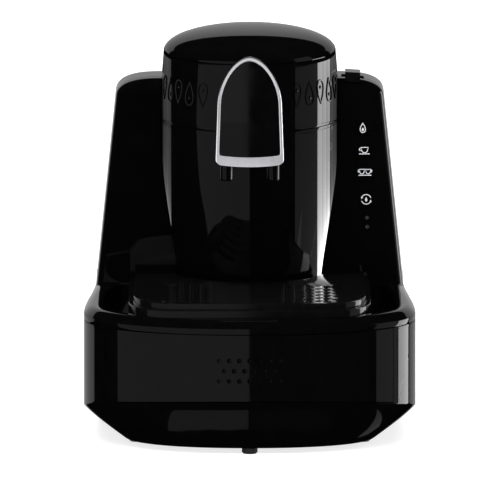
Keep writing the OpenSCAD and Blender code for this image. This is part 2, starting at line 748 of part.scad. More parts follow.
// Domed lid with a rib that holds the seal and a lug on the hinge pin
module lid() {
    color(BLACK) difference() {
        union() {
            translate([0, tower_y, 0]) rotate_extrude($fn = 128)
                polygon(concat(dome_line(0), back_to_front(dome_line(wall))));
            translate([0, tower_y, 0]) rotate_extrude($fn = 96) polygon([
                [seal_r - seal_w, seal_top], [seal_r, seal_top], [seal_r, lid_seam + rib_out],
                [seal_r - seal_w, lid_seam + rib_in]]);
            rod_x(knuckle_r, -lug_w / 2, lug_w / 2, hinge_y, hinge_z);
            box([-lug_w / 2, hinge_y - knuckle_r - lid_lift, hinge_z],
                [lug_w / 2, hinge_y + knuckle_r, lid_seam + lug_up]);
        }
        rod_x(hinge_r + fit, -lug_w, lug_w, hinge_y, hinge_z);
    }
}
module lid_seal() {
    color("#55585c") translate([0, tower_y, 0]) rotate_extrude($fn = 96) polygon([
        [seal_r - seal_w, seal_top], [seal_r - seal_w + 1, seal_z], [seal_r - 1, seal_z], [seal_r, seal_top]]);
}
module lid_hinge_pin() {
    color(STEEL) rod_x(hinge_r, -lug_w / 2 - seam - ear_w, lug_w / 2 + seam + ear_w, hinge_y, hinge_z);
}

// Arched spout. Its outline stands upright, its front leans back towards the lid.
spring_z = spout_z + 0.59 * (spout_top - spout_z);
arch_bend = 1.75;
arch_n = 12;
corner_r = 4.5;
corner_min = 1.5;
side_lean = 0.022;
apex_thin = 1.3;
// Outline seen from the front, moved in by t, with its foot raised to z0
function arch_plan(t, z0) =
    let (w0 = spout_w / 2 - t - side_lean * (z0 - spout_z),
        wc = spout_w / 2 - t - side_lean * (spring_z - spout_z),
        h = spout_top - apex_thin * t - spring_z, r = max(corner_min, corner_r - t),
        half = concat(
            [for (k = [0:4]) [w0 - r + r * sin(22.5 * k), z0 + r - r * cos(22.5 * k)]],
            [for (k = [0:arch_n - 1]) let (f = 90 * k / arch_n)
                [wc * pow(cos(f), 2 / arch_bend), spring_z + h * pow(sin(f), 2 / arch_bend)]]))
    concat(half, [[0, spring_z + h]], [for (k = [len(half) - 1:-1:0]) [-half[k][0], half[k][1]]]);
frame_t = 4;
foot_y = tower_y - spout_reach;
apex_y = tower_y - lid_r - frame_t - 1;
lean_bend = 1.9;
// Place of the spout's front at height z
function spout_y(z) = let (s = max(0, (z - spout_z) / (spout_top - spout_z)))
    foot_y + (apex_y - foot_y) * pow(s, lean_bend);
spout_steps = 10;
// Everything from a behind the spout's front to b behind it, or to the tower's axis
module behind_front(a, b, z0, z1) rotate([90, 0, 90]) translate([0, 0, -spout_w]) linear_extrude(2 * spout_w)
    polygon(concat(
        [for (k = [0:spout_steps]) let (z = z0 + (z1 - z0) * k / spout_steps) [spout_y(z) + a, z]],
        [for (k = [spout_steps:-1:0]) let (z = z0 + (z1 - z0) * k / spout_steps)
            [is_undef(b) ? tower_y : spout_y(z) + b, z]]));
module arch(t, z0) translate([0, tower_y, 0]) rotate([90, 0, 0]) linear_extrude(base_d)
    polygon(arch_plan(t, z0));
module arch_ring(t0, t1, z0, z1) translate([0, tower_y, 0]) rotate([90, 0, 0]) linear_extrude(base_d)
    difference() {
        polygon(arch_plan(t0, z0));
        polygon(arch_plan(t1, z1));
    }
plate_set = 1.2;
plate_t = 1.8;
module chrome_frame() {
    color("#d8dade") intersection() {
        arch_ring(0, frame_w, spout_z, spout_z + bar_h);
        behind_front(0, frame_t, spout_z - past, spout_top + past);
    }
}
module spout_plate() {
    color("#0b0b0d") intersection() {
        arch(frame_w, spout_z + bar_h);
        behind_front(plate_set, plate_set + plate_t, spout_z, spout_top);
    }
}
spout_wall = 2;
spout_in = 0.5;
nozzle_r = nozzle_dia / 2;
nozzle_y = foot_y + frame_t + nozzle_r + 3;
module spout_housing() {
    color(BLACK) difference() {
        intersection() {
            arch_ring(spout_in, spout_in + spout_wall, spout_z + spout_in, spout_z + spout_in + spout_wall);
            behind_front(frame_t, undef, spout_z - past, spout_top + past);
        }
        tower_core(0.2, lid_seam);
        // Room for the lid's swing
        rod(lid_r + 0.8, lid_seam - 1.4, spout_top + 5, 0, tower_y, 128);
        for (s = [-1, 1]) rod(nozzle_r + play / 2, spout_z - past, manifold_z, s * nozzle_x, nozzle_y);
    }
}
nozzle_wall = 1.8;
nozzle_tip = 1;
module nozzle(x) difference() {
    union() {
        rod(nozzle_r, spout_z - nozzle_len + nozzle_tip, manifold_z - manifold_h / 2, x, nozzle_y);
        translate([x, nozzle_y, spout_z - nozzle_len])
            cylinder(r1 = nozzle_r - 0.8 * nozzle_tip, r2 = nozzle_r, h = nozzle_tip, $fn = 48);
    }
    rod(nozzle_r - nozzle_wall, spout_z - nozzle_len - past, manifold_z, x, nozzle_y);
}
module left_nozzle() {
    color("#161618") nozzle(-nozzle_x);
}
module right_nozzle() {
    color("#161618") nozzle(nozzle_x);
}
port_y = tower_y - 12;
bore_r = 3;
branch_r = 2.6;
// Channel from the drain valve to both nozzles
module manifold() {
    end = nozzle_r - 1.4;
    color("#3a3b3e") difference() {
        union() {
            box([-manifold_w / 2, nozzle_y, manifold_z - manifold_h / 2],
                [manifold_w / 2, port_y, manifold_z + manifold_h / 2]);
            box([-nozzle_x - end, nozzle_y - nozzle_r - 1, manifold_z - manifold_h / 2],
                [nozzle_x + end, nozzle_y + nozzle_r + 1, manifold_z + manifold_h / 2]);
        }
        rod_y(bore_r, nozzle_y, port_y + past, 0, manifold_z);
        rod_x(branch_r, -nozzle_x, nozzle_x, nozzle_y, manifold_z);
        for (s = [-1, 1]) rod(branch_r, manifold_z - manifold_h, manifold_z, s * nozzle_x, nozzle_y);
    }
}
pot_z = rim_z - pot_h;
pot_round = 0.9;
outlet_r = 3.5;
hose_r = 3;
riser_x = -pot_r - 5;
flange_r = ledge_r + 5;
module brew_pot() {
    inner_r = pot_r - pot_t;
    color("#c9ccd1") difference() {
        translate([0, tower_y, 0]) rotate_extrude($fn = 96) polygon([
            [outlet_r, pot_z], [pot_r, pot_z], [pot_r, flange_z], [flange_r, flange_z],
            [flange_r, flange_z + pot_t], [inner_r, flange_z + pot_t],
            [inner_r, pot_z + pot_t + pot_round], [inner_r - pot_round, pot_z + pot_t],
            [outlet_r, pot_z + pot_t]]);
        rod(hose_r, flange_z - past, rim_z + past, riser_x, tower_y);
    }
}
// The heating plate fills the space between the spout's channel and the pot
heater_z = manifold_z + manifold_h / 2 + play;
heater_mid = (heater_z + pot_z) / 2;
element_in = 9;
valve_r = 8.7;
valve_bore = 5;
module heater_plate() {
    color("#9a9da2") difference() {
        union() {
            rod(pot_r, heater_mid, pot_z, 0, tower_y, 96);
            // Heating element under the plate
            translate([0, tower_y, heater_mid]) rotate_extrude($fn = 96)
                translate([pot_r - element_in, 0]) circle(r = pot_z - heater_mid, $fn = 32);
        }
        rod(valve_r + seam, heater_z - past, pot_z + past, 0, tower_y);
    }
}
sensor_r = 5;
sensor_h = 6;
module thermal_sensor() {
    color("#c8a24a") rod(sensor_r, heater_mid - sensor_h, heater_mid, valve_r + sensor_r + 4.3, tower_y);
}
coil_z = manifold_z - 14;
gland_t = 4;
plunger_r = 2;
plunger_len = 22;
head_h = 3.2;
head_z = pot_z - seam - head_h;
// Drain valve under the pot, with a port towards the spout
module valve_body() {
    color("#8f9296") difference() {
        union() {
            rod(valve_r, coil_z, pot_z, 0, tower_y);
            box([-manifold_w / 2, port_y, manifold_z - manifold_h / 2],
                [manifold_w / 2, tower_y, manifold_z + manifold_h / 2]);
        }
        rod(valve_bore, coil_z + gland_t, pot_z + past, 0, tower_y);
        rod(plunger_r + fit, coil_z - past, coil_z + gland_t + past, 0, tower_y);
        rod_y(bore_r, port_y - past, tower_y, 0, manifold_z);
    }
}
module valve_plunger() {
    color("#c9ccd1") {
        rod(valve_bore - play, head_z, head_z + head_h, 0, tower_y);
        rod(plunger_r, coil_z - plunger_len, head_z, 0, tower_y);
    }
}
// Coil of round wire between the gland and the plunger's head
spring_turns = 5;
spring_wire = 0.45;
spring_r = 3.4;
spring_ring = 14;
wire_sides = 6;
function spring_pt(k, j) =
    let (turn = 360 * k / spring_ring, z0 = coil_z + gland_t + spring_wire + fit,
        z = z0 + (head_z - z0 - spring_wire - fit) * k / (spring_ring * spring_turns),
        f = -360 * j / wire_sides)
    [(spring_r + spring_wire * cos(f)) * cos(turn), tower_y + (spring_r + spring_wire * cos(f)) * sin(turn),
        z + spring_wire * sin(f)];
module valve_spring() {
    color(STEEL) loft([for (k = [0:spring_ring * spring_turns])
        [for (j = [0:wire_sides - 1]) spring_pt(k, j)]]);
}
solenoid_r = 13;
solenoid_cap_r = 9;
solenoid_cap = 3;
solenoid_end = coil_z - plunger_len - valve_travel - 3;
module solenoid() {
    color("#31506b") difference() {
        union() {
            rod(solenoid_r, solenoid_end + solenoid_cap, coil_z - solenoid_cap, 0, tower_y);
            rod(solenoid_cap_r, solenoid_end, coil_z, 0, tower_y);
        }
        rod(plunger_r + play, solenoid_end + 2, coil_z + past, 0, tower_y);
    }
}
// Pump on two rubber saddles, in line with the spigot of the tank's seat
hose_bend = 12;
hose_start = tower_y + hose_bend + 2;
pump_r = 16;
pump_len = 36;
pump_neck_r = 10;
pump_neck = 4;
pump_spout = 5;
pump_tail = 7;
pump_x = -45;
pump_y0 = hose_start + pump_spout + pump_neck;
pump_y1 = pump_y0 + pump_len;
pump_z = plate_top + pump_r + 9;
pump_end = pump_y1 + pump_tail;
module pump() {
    color("#4b4d52") {
        rod_y(pump_r, pump_y0, pump_y1, pump_x, pump_z);
        rod_y(pump_neck_r, pump_y0 - pump_neck, pump_y0, pump_x, pump_z);
        rod_y(hose_r, hose_start, pump_y0 - pump_neck, pump_x, pump_z);
        rod_y(hose_r, pump_y1, pump_end, pump_x, pump_z);
    }
}
saddle_ring = 2.5;
saddle_w = 20;
saddle_len = 6;
module pump_mounts() {
    color("#141414") for (y = [pump_y0 + saddle_len, pump_y1 - 2 * saddle_len]) difference() {
        union() {
            rod_y(pump_r + saddle_ring, y, y + saddle_len, pump_x, pump_z);
            box([pump_x - saddle_w / 2, y, plate_top], [pump_x + saddle_w / 2, y + saddle_len, pump_z]);
        }
        rod_y(pump_r, y - past, y + saddle_len + past, pump_x, pump_z);
    }
}
// Round tube of radius r through the points of a route
hose_sides = 12;
function unit(v) = v / norm(v);
function along(p, k) =
    k == 0 ? unit(p[1] - p[0])
    : k == len(p) - 1 ? unit(p[k] - p[k - 1])
    : unit(unit(p[k + 1] - p[k]) + unit(p[k] - p[k - 1]));
module tube(p, r) loft([for (k = [0:len(p) - 1])
    let (d = along(p, k), v = unit(cross(d, [1, 0, 0])), w = cross(v, d))
    [for (j = [0:hose_sides - 1]) let (f = 360 * j / hose_sides) p[k] + r * (cos(f) * w + sin(f) * v)]]);
// Quarter bend of radius r at x that starts at [y, z], goes along y by sy and ends upright
function bend(x, y, z, r, sy) = [for (k = [1:5])
    let (f = 15 * k) [x, y + sy * r * sin(f), z + r * (1 - cos(f))]];
spigot_x = pump_x;
spigot_y = tank_y + 14;
spigot_z = crown_h - 14;
spigot_r = 4.6;
inlet_bend = 9;
module inlet_hose() {
    y = spigot_y - inlet_bend;
    color("#c4c8cc") tube(concat(
        [[spigot_x, pump_end, pump_z], [spigot_x, y, pump_z]], bend(spigot_x, y, pump_z, inlet_bend, 1),
        [[spigot_x, spigot_y, pump_z + inlet_bend], [spigot_x, spigot_y, spigot_z]]), hose_r);
}
riser_step = 6;
module outlet_hose() {
    y = hose_start - 2;
    low = pump_z + hose_bend;
    color("#c4c8cc") tube(concat(
        [[pump_x, hose_start, pump_z], [pump_x, y, pump_z]], bend(pump_x, y, pump_z, hose_bend, -1),
        [[pump_x, tower_y, low], [(pump_x + riser_x) / 2, tower_y, low + riser_step],
            [riser_x, tower_y, low + 2 * riser_step], [riser_x, tower_y, flange_z + pot_t]]), hose_r - fit);
}

// Seat of the tank on the deck, with the spigot that takes the water
seat_t = 3.6;
seat_lap = 2;
seat_pin_r = 1.5;
seat_pin = 1.2;
seat_hole_r = 0.8;
seat_holes_r = 2.1;
tank_z = crown_h + seat_t + seam;
tank_top = wing_back_h - tank_drop;
tank_front_r = 6;
tank_rear_r = 22;
module tank_seat() {
    seat_top = crown_h + seat_t;
    color(DARK) difference() {
        union() {
            block(tank_w + 2 * seat_lap, tank_y, tank_back - seat_lap / 4, tank_front_r, crown_h, seat_top,
                tank_rear_r);
            rod(spigot_r, spigot_z, crown_h, spigot_x, spigot_y);
            // Pin that opens the tank's valve
            rod(seat_pin_r, seat_top, seat_top + seat_pin, spigot_x, spigot_y, 24);
        }
        rod(hose_r, spigot_z - past, seat_top - 1.4, spigot_x, spigot_y);
        for (f = [0:90:270]) rod(seat_hole_r, crown_h, seat_top + past,
            spigot_x + seat_holes_r * cos(f), spigot_y + seat_holes_r * sin(f), 16);
    }
}
tank_hinge_y = tank_back - 5;
tank_hinge_z = tank_top + 4;
tank_pin_r = 1.25;
tank_knuckle_r = 3;
tank_lugs = [36, 46];
tank_lug_foot = 4;
lid_t = 2.6;
knuckle_w = 9;
tank_ridge_w = 50;
// Valve in the tank's floor
valve_hole_r = 3.2;
valve_seat_r = 7;
valve_floor = 3;
valve_collar = 8;
module water_tank() {
    color("#2b2d33") difference() {
        union() {
            difference() {
                block(tank_w, tank_y, tank_back, tank_front_r, tank_z, tank_top, tank_rear_r);
                block(tank_w - 2 * tank_wall, tank_y + tank_wall, tank_back - tank_wall,
                    tank_front_r - tank_wall, tank_z + tank_wall, tank_top + past, tank_rear_r - tank_wall);
            }
            // Collar of the valve
            rod(valve_seat_r + 2, tank_z + seam, tank_z + valve_collar, spigot_x, spigot_y);
            both_sides() {
                box([tank_lugs[0], tank_hinge_y - 2, tank_top - tank_lug_foot],
                    [tank_lugs[1], tank_back, tank_hinge_z]);
                rod_x(tank_knuckle_r, tank_lugs[0], tank_lugs[1], tank_hinge_y, tank_hinge_z);
            }
        }
        rod(valve_hole_r, tank_z - past, tank_z + valve_collar + past, spigot_x, spigot_y);
        rod(valve_seat_r, tank_z + valve_floor, tank_z + valve_collar + past, spigot_x, spigot_y);
        rod_x(tank_pin_r, -base_w, base_w, tank_hinge_y, tank_hinge_z, 24);
    }
}
module tank_lid() {
    under = tank_top + seam;
    rib_w = tank_w - 2 * tank_wall - 1;
    rib_y = tank_y + tank_wall + 0.5;
    rib_t = 2;
    color("#17181a") difference() {
        union() {
            translate([0, 0, under]) linear_extrude(lid_t) intersection() {
                polygon(tile(tank_w, tank_y, tank_back, tank_front_r, tank_rear_r));
                translate([-tank_w, 0]) square([2 * tank_w, tank_hinge_y - tank_knuckle_r - 2 * seam]);
            }
            // Rib inside the tank's mouth
            difference() {
                block(rib_w, rib_y, tank_back - tank_rear_r, tank_front_r - 2, tank_top - 3, under);
                block(rib_w - 2 * rib_t, rib_y + rib_t, tank_back - tank_rear_r - rib_t, tank_front_r - 3,
                    tank_top - 4, under);
            }
            both_sides() {
                box([tank_lugs[0] - seam - knuckle_w, tank_hinge_y - 8, under],
                    [tank_lugs[0] - seam, tank_hinge_y, under + lid_t]);
                rod_x(tank_knuckle_r, tank_lugs[0] - seam - knuckle_w, tank_lugs[0] - seam, tank_hinge_y,
                    tank_hinge_z);
            }
            // Finger ridge
            block(tank_ridge_w, tank_y + 5, tank_y + 8, 1.4, under + lid_t, under + lid_t + 2);
        }
        rod_x(tank_pin_r + fit, -base_w, base_w, tank_hinge_y, tank_hinge_z, 24);
    }
}
module tank_lid_pin() {
    color(STEEL) both_sides()
        rod_x(tank_pin_r, tank_lugs[0] - seam - knuckle_w, tank_lugs[1], tank_hinge_y, tank_hinge_z, 24);
}
poppet_r = valve_seat_r - 1.2;
poppet_z = tank_z + valve_floor + 0.1;
poppet_t = 1.5;
poppet_stem_r = 2;
poppet_tip_r = 1.2;
poppet_tip = 2.9;
// Spring-loaded poppet that the seat's pin lifts when the tank stands in place
module tank_valve() {
    color("#d9dcdf") {
        rod(poppet_stem_r, tank_z + seat_pin + 0.2, poppet_z, spigot_x, spigot_y, 32);
        rod(poppet_r, poppet_z, poppet_z + poppet_t, spigot_x, spigot_y);
        rod(poppet_tip_r, poppet_z + poppet_t, poppet_z + poppet_t + poppet_tip, spigot_x, spigot_y, 24);
    }
}
filter_h = 12;
filter_roof = 2;
filter_slot = 1.6;
filter_slot_h = 6.5;
// Slotted cap over the valve
module tank_filter() {
    z0 = tank_z + valve_collar;
    color("#e4e6e8") difference() {
        rod(valve_seat_r + 2, z0, z0 + filter_h, spigot_x, spigot_y);
        rod(valve_seat_r, z0 - past, z0 + filter_h - filter_roof, spigot_x, spigot_y);
        for (f = [0:45:135]) translate([spigot_x, spigot_y, z0 + 2]) rotate(f)
            box([-valve_seat_r - 3, -filter_slot / 2, 0], [valve_seat_r + 3, filter_slot / 2, filter_slot_h]);
    }
}
// Keys: a cap with a flange behind the wall and a stem to its switch on the board
key_r = 1.6;
key_flange = 0.8;
key_stem_r = 2;
board_t = 1.6;
board_y = wing_y + wall + 4.6;
board_x = [key_x - 9, key_x + 7.5];
board_z = [led_places[1][1] - 6, key_z[0] + 9.4];
push_w = 6;
push_t = 1.6;
push_y = board_y - push_t;
board_post_r = 1.4;
board_posts = [[key_x - 4, key_z[0] + key_h / 2 + key_flange + 2], [key_x - 4, (key_z[2] + key_z[3]) / 2],
    [key_x - 5, (key_z[3] + led_places[1][1]) / 2]];
module key(z) {
    inside = wing_y + wall + key_gap / 2;
    translate([key_x, 0, z]) color("#0d0d0f") {
        rotate([90, 0, 0]) translate([0, 0, -inside]) linear_extrude(inside - wing_y)
            polygon(tile(key_w, -key_h / 2, key_h / 2, key_r, key_r));
        box([-key_w / 2 - key_flange, inside, -key_h / 2 - key_flange],
            [key_w / 2 + key_flange, inside + key_flange, key_h / 2 + key_flange]);
        rod_y(key_stem_r, inside + key_flange, push_y - key_travel - 0.15, 0, 0, 32);
    }
}
module slow_key() {
    key(key_z[0]);
}
module one_cup_key() {
    key(key_z[1]);
}
module two_cup_key() {
    key(key_z[2]);
}
module clean_key() {
    key(key_z[3]);
}
// Circuit board with one push switch behind each key, on posts from the wing's front
module key_board() {
    color(BOARD) {
        box([board_x[0], board_y, board_z[0]], [board_x[1], board_y + board_t, board_z[1]]);
        for (z = key_z)
            box([key_x - push_w / 2, push_y, z - push_w / 2], [key_x + push_w / 2, board_y, z + push_w / 2]);
        for (p = board_posts) rod_y(board_post_r, wing_y + wall, board_y, p[0], p[1], 32);
    }
}
module led_lenses() {
    color("#d8dcc8") for (p = led_places) rod_y(led_r, wing_y + 0.1, board_y, p[0], p[1], 24);
}
// Mains board beside the pump
power_w = 82;
power_d = 60;
power_x = 10;
power_y = wing_y + 14;
power_lift = 8;
power_z = plate_top + power_lift;
power_post_r = 2.5;
power_post_in = 5;
transformer = [28, 28, 24];
transformer_at = [8, 8];
capacitor_r = 8;
capacitor_h = 22;
capacitor_at = [50, 46];
relay = [18, 14, 16];
relay_at = [44, 8];
plug_row = [10, 24, 10];
plug_row_at = [66, 10];
buzzer_r = 6;
buzzer_h = 8;
buzzer_at = [70, 48];
module power_board() {
    top = power_z + board_t;
    color(BOARD) {
        translate([power_x, power_y, power_z]) cube([power_w, power_d, board_t]);
        for (x = [power_post_in, power_w - power_post_in], y = [power_post_in, power_d - power_post_in])
            rod(power_post_r, plate_top, power_z, power_x + x, power_y + y);
        for (part = [[transformer, transformer_at], [relay, relay_at], [plug_row, plug_row_at]])
            translate([power_x + part[1][0], power_y + part[1][1], top]) cube(part[0]);
        rod(capacitor_r, top, top + capacitor_h, power_x + capacitor_at[0], power_y + capacitor_at[1]);
    }
}
module buzzer() {
    top = power_z + board_t;
    color("#0e0e10") translate([power_x + buzzer_at[0], power_y + buzzer_at[1], 0]) difference() {
        rod(buzzer_r, top, top + buzzer_h);
        rod(buzzer_r / 5, top + 0.75 * buzzer_h, top + buzzer_h + past);
    }
}
// Main switch in the back wall
frame_wall = 1.2;
switch_floor = 4;
rocker_y = back_y - 4.5;
rocker_r = 1.2;
rocker_tilt = 8;
rocker_back = 3;
rocker_front = 3.6;
rocker_dip = 1;
rocker_taper = 1.5;
module switch_frame() {
    color("#101012") difference() {
        translate([switch_x, 0, switch_z]) difference() {
            box([-switch_w / 2, back_y - switch_deep, -switch_h / 2], [switch_w / 2, back_y, switch_h / 2]);
            box([frame_wall - switch_w / 2, back_y - switch_deep + switch_floor, frame_wall - switch_h / 2],
                [switch_w / 2 - frame_wall, back_y + past, switch_h / 2 - frame_wall]);
        }
        rod_x(rocker_r + fit, switch_x - switch_w / 2, switch_x + switch_w / 2, rocker_y, switch_z, 24);
    }
}
// Rocker, drawn switched off
module switch_rocker() {
    half = switch_h / 2 - frame_wall - 0.8;
    side = switch_w / 2 - frame_wall - seam;
    pin = switch_w / 2 - 0.2;
    color("#1e1e21") {
        translate([switch_x - side, rocker_y, switch_z]) rotate([rocker_tilt, 0, 0]) rotate([90, 0, 90])
            linear_extrude(2 * side) polygon([
                [-rocker_back, rocker_taper - half], [rocker_front, -half], [rocker_front - rocker_dip, 0],
                [rocker_front, half], [-rocker_back, half - rocker_taper]]);
        for (s = [-1, 1]) rod_x(rocker_r, switch_x + min(s * pin, s * (side - past)),
            switch_x + max(s * pin, s * (side - past)), rocker_y, switch_z, 24);
    }
}
gland_bore_r = 3.6;
// Bush of the mains lead's exit
module cord_gland() {
    color(RUBBER) difference() {
        rod_y(gland_r, back_y - gland_len, back_y, gland_x, gland_z);
        rod_y(gland_bore_r, back_y - gland_len - past, back_y + past, gland_x, gland_z);
    }
}
spoon_t = 3;
spoon_over = 7.2;
spoon_lip = 1.5;
scoop_r = 5.4;
scoop_t = 1.2;
scoop_h = 26;
// Measuring spoon: a thumb lip above the crest, a flat handle and a deep scoop
module spoon() {
    spoon_top = wing_h + spoon_over;
    lip_y = wing_y + spoon_lip;
    handle_y = spoon_slot_y + 1;
    scoop_y = spoon_slot_y + spoon_slot_d / 2;
    low = pocket_z + wall + 0.5;
    color("#0f0f11") {
        translate([spoon_x, 0, 0]) {
            box([-spoon_w / 2, handle_y, low + scoop_h], [spoon_w / 2, handle_y + spoon_t, spoon_top]);
            box([-spoon_w / 2, lip_y, spoon_top - spoon_t], [spoon_w / 2, handle_y, spoon_top]);
            box([-spoon_w / 2, lip_y, wing_h + seam], [spoon_w / 2, lip_y + spoon_t, spoon_top - spoon_t]);
        }
        difference() {
            rod(scoop_r, low, low + scoop_h, spoon_x, scoop_y);
            rod(scoop_r - scoop_t, low + scoop_t, low + scoop_h + past, spoon_x, scoop_y);
        }
    }
}

base_housing();
bottom_plate();
rubber_feet();
bottom_screws();
inner_chassis();
deck();
guide_posts();
cup_platform();
drawer_front();
waste_tray();
rear_housing();
back_panel();
housing_screws();
tower_shell();
tower_collar();
lid();
lid_seal();
lid_hinge_pin();
spout_housing();
spout_plate();
chrome_frame();
left_nozzle();
right_nozzle();
manifold();
brew_pot();
heater_plate();
thermal_sensor();
valve_body();
valve_plunger();
valve_spring();
solenoid();
pump();
pump_mounts();
inlet_hose();
outlet_hose();
tank_seat();
water_tank();
tank_lid();
tank_lid_pin();
tank_valve();
tank_filter();
slow_key();
one_cup_key();
two_cup_key();
clean_key();
key_board();
led_lenses();
power_board();
buzzer();
switch_frame();
switch_rocker();
cord_gland();
spoon();
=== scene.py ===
"""Looks of an electric Turkish coffee maker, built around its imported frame.

Lengths are in millimetres until mesh_object() turns them into metres. Shells whose
gloss would show facets are built anew from the frame's own sizes; the other nodes
keep their solids and get soft edges or only a finish.
"""
import json
import math

import bmesh
import bpy
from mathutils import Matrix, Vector

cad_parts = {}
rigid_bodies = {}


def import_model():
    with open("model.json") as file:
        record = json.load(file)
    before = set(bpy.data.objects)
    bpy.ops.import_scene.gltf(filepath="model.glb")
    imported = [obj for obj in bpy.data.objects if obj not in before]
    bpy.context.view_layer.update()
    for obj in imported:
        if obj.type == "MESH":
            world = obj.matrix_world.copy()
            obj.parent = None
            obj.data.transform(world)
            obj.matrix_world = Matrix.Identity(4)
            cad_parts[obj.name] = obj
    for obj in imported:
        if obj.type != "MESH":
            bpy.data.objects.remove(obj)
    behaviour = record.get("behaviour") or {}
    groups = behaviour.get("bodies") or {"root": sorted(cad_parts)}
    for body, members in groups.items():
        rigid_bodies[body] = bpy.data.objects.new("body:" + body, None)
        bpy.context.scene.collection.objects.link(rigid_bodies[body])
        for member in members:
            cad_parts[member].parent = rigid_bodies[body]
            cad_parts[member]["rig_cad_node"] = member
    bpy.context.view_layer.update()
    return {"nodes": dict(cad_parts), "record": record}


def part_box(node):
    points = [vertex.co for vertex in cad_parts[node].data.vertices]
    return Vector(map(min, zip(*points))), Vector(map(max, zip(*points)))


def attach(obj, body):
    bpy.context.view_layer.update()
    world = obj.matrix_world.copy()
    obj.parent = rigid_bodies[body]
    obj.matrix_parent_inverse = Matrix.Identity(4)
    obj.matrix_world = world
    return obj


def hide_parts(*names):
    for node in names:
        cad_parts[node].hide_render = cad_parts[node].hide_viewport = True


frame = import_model()
MM = 0.001
BODIES = {node: body for body, nodes in frame["record"]["behaviour"]["bodies"].items() for node in nodes}


def box_mm(node):
    """Lowest and highest corner of a node, in millimetres."""
    low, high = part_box(node)
    return low / MM, high / MM


# ---- sizes
base_low, base_high = box_mm("base_housing")
shell_low, shell_high = box_mm("tower_shell")
collar_low, collar_high = box_mm("tower_collar")
lid_low, lid_high = box_mm("lid")
wing_low, wing_high = box_mm("rear_housing")
step_low, step_high = box_mm("cup_platform")
ring_low, ring_high = box_mm("chrome_frame")
pin_low, pin_high = box_mm("lid_hinge_pin")
under_low, under_high = box_mm("bottom_plate")
lens_low, lens_high = box_mm("led_lenses")
front_high = box_mm("drawer_front")[1]
seal_high = box_mm("lid_seal")[1]

HALF_W = base_high.x
FRONT_Y = base_low.y
BACK_Y = base_high.y
FOOT_Z = base_low.z
SEAM_Z = base_high.z
CROWN_Z = box_mm("deck")[1].z
WALL = 2.5
SEAM = 0.3

# Outline of the base: nose, flank and rear corner
NOSE_D = 70
NOSE_BEND = 2.2
TAIL_IN = 7.7
TAIL_LEN = 125
REAR_R = 30
WIDE_Y = FRONT_Y + NOSE_D
REAR_Y = BACK_Y - REAR_R

# Crease between the upright walls and the hull below
CREASE_Z = 39.2
CREASE_RISE = math.tan(math.radians(11.2))
CREASE_LOW = 9.5
FLOOR_Z = FOOT_Z + WALL

# The hull's foot: how far back it starts, width and depth of its nose, its opening angle and tuck behind
HULL_IN = 14.7
HULL_W = 173.4
HULL_NOSE = 45.3
HULL_TAPER = math.radians(13.6)
HULL_TUCK = 2
HULL_Y = FRONT_Y + HULL_IN + HULL_NOSE
HULL_BEND = 3

# Tower and lid; TURN is the number of points round them
TURN = 192
TOWER_Y = (shell_low.y + shell_high.y) / 2
FOOT_R = 50
TOWER_R = (collar_high.x - collar_low.x) / 2
LID_R = (lid_high.x - lid_low.x) / 2
COLLAR_Z = shell_high.z
DOME_H = 17.8
DOME_BEND = 2.1
LID_Z = lid_high.z - DOME_H
LID_SEAM = LID_Z - 0.2


# ---- materials
def add_node(tree, kind, **inputs):
    """New shader node whose inputs get values, or links from sockets."""
    node = tree.nodes.new("ShaderNode" + kind)
    for name, value in inputs.items():
        socket = node.inputs[name.replace("_", " ")]
        if isinstance(value, bpy.types.NodeSocket):
            tree.links.new(value, socket)
        else:
            socket.default_value = value
    return node


def noise(tree, size_mm, stretch):
    """Noise in the shared frame, with features of size_mm, drawn out along an axis."""
    place = add_node(tree, "TexCoord").outputs["Object"]
    mapped = add_node(tree, "Mapping", Scale=stretch, Vector=place).outputs["Vector"]
    return add_node(tree, "TexNoise", Scale=1 / (size_mm * MM), Detail=3, Vector=mapped).outputs["Fac"]


def tint(colour):
    """A colour, or the cool grey of a number."""
    return colour if isinstance(colour, tuple) else (colour, colour, colour * 1.04)


def surface(name, dark, light, rough, metal=0, size=4, grain=0, grain_size=0.4, stretch=(1, 1, 1), **more):
    """Principled material whose colour and roughness drift over size mm, with relief grain mm deep."""
    mat = bpy.data.materials.new(name)
    mat.use_nodes = True
    tree = mat.node_tree
    shader = tree.nodes["Principled BSDF"]
    shader.inputs["Metallic"].default_value = metal
    for socket, value in more.items():
        shader.inputs[socket.replace("_", " ")].default_value = value
    drift = noise(tree, size, stretch)
    from_low, from_high = 0.3, 0.7
    tone = add_node(tree, "ValToRGB", Fac=drift)
    for stop, position, colour in zip(tone.color_ramp.elements, (from_low, from_high), (dark, light)):
        stop.position = position
        stop.color = (*tint(colour), 1)
    tree.links.new(tone.outputs["Color"], shader.inputs["Base Color"])
    gloss = add_node(tree, "MapRange", Value=drift, From_Min=from_low, From_Max=from_high,
                     To_Min=rough[0], To_Max=rough[1])
    tree.links.new(gloss.outputs["Result"], shader.inputs["Roughness"])
    if grain:
        relief = add_node(tree, "Bump", Distance=grain * MM, Strength=1,
                          Height=noise(tree, grain_size, stretch))
        tree.links.new(relief.outputs["Normal"], shader.inputs["Normal"])
    mat.diffuse_color = (*tint(light), 1)
    return mat


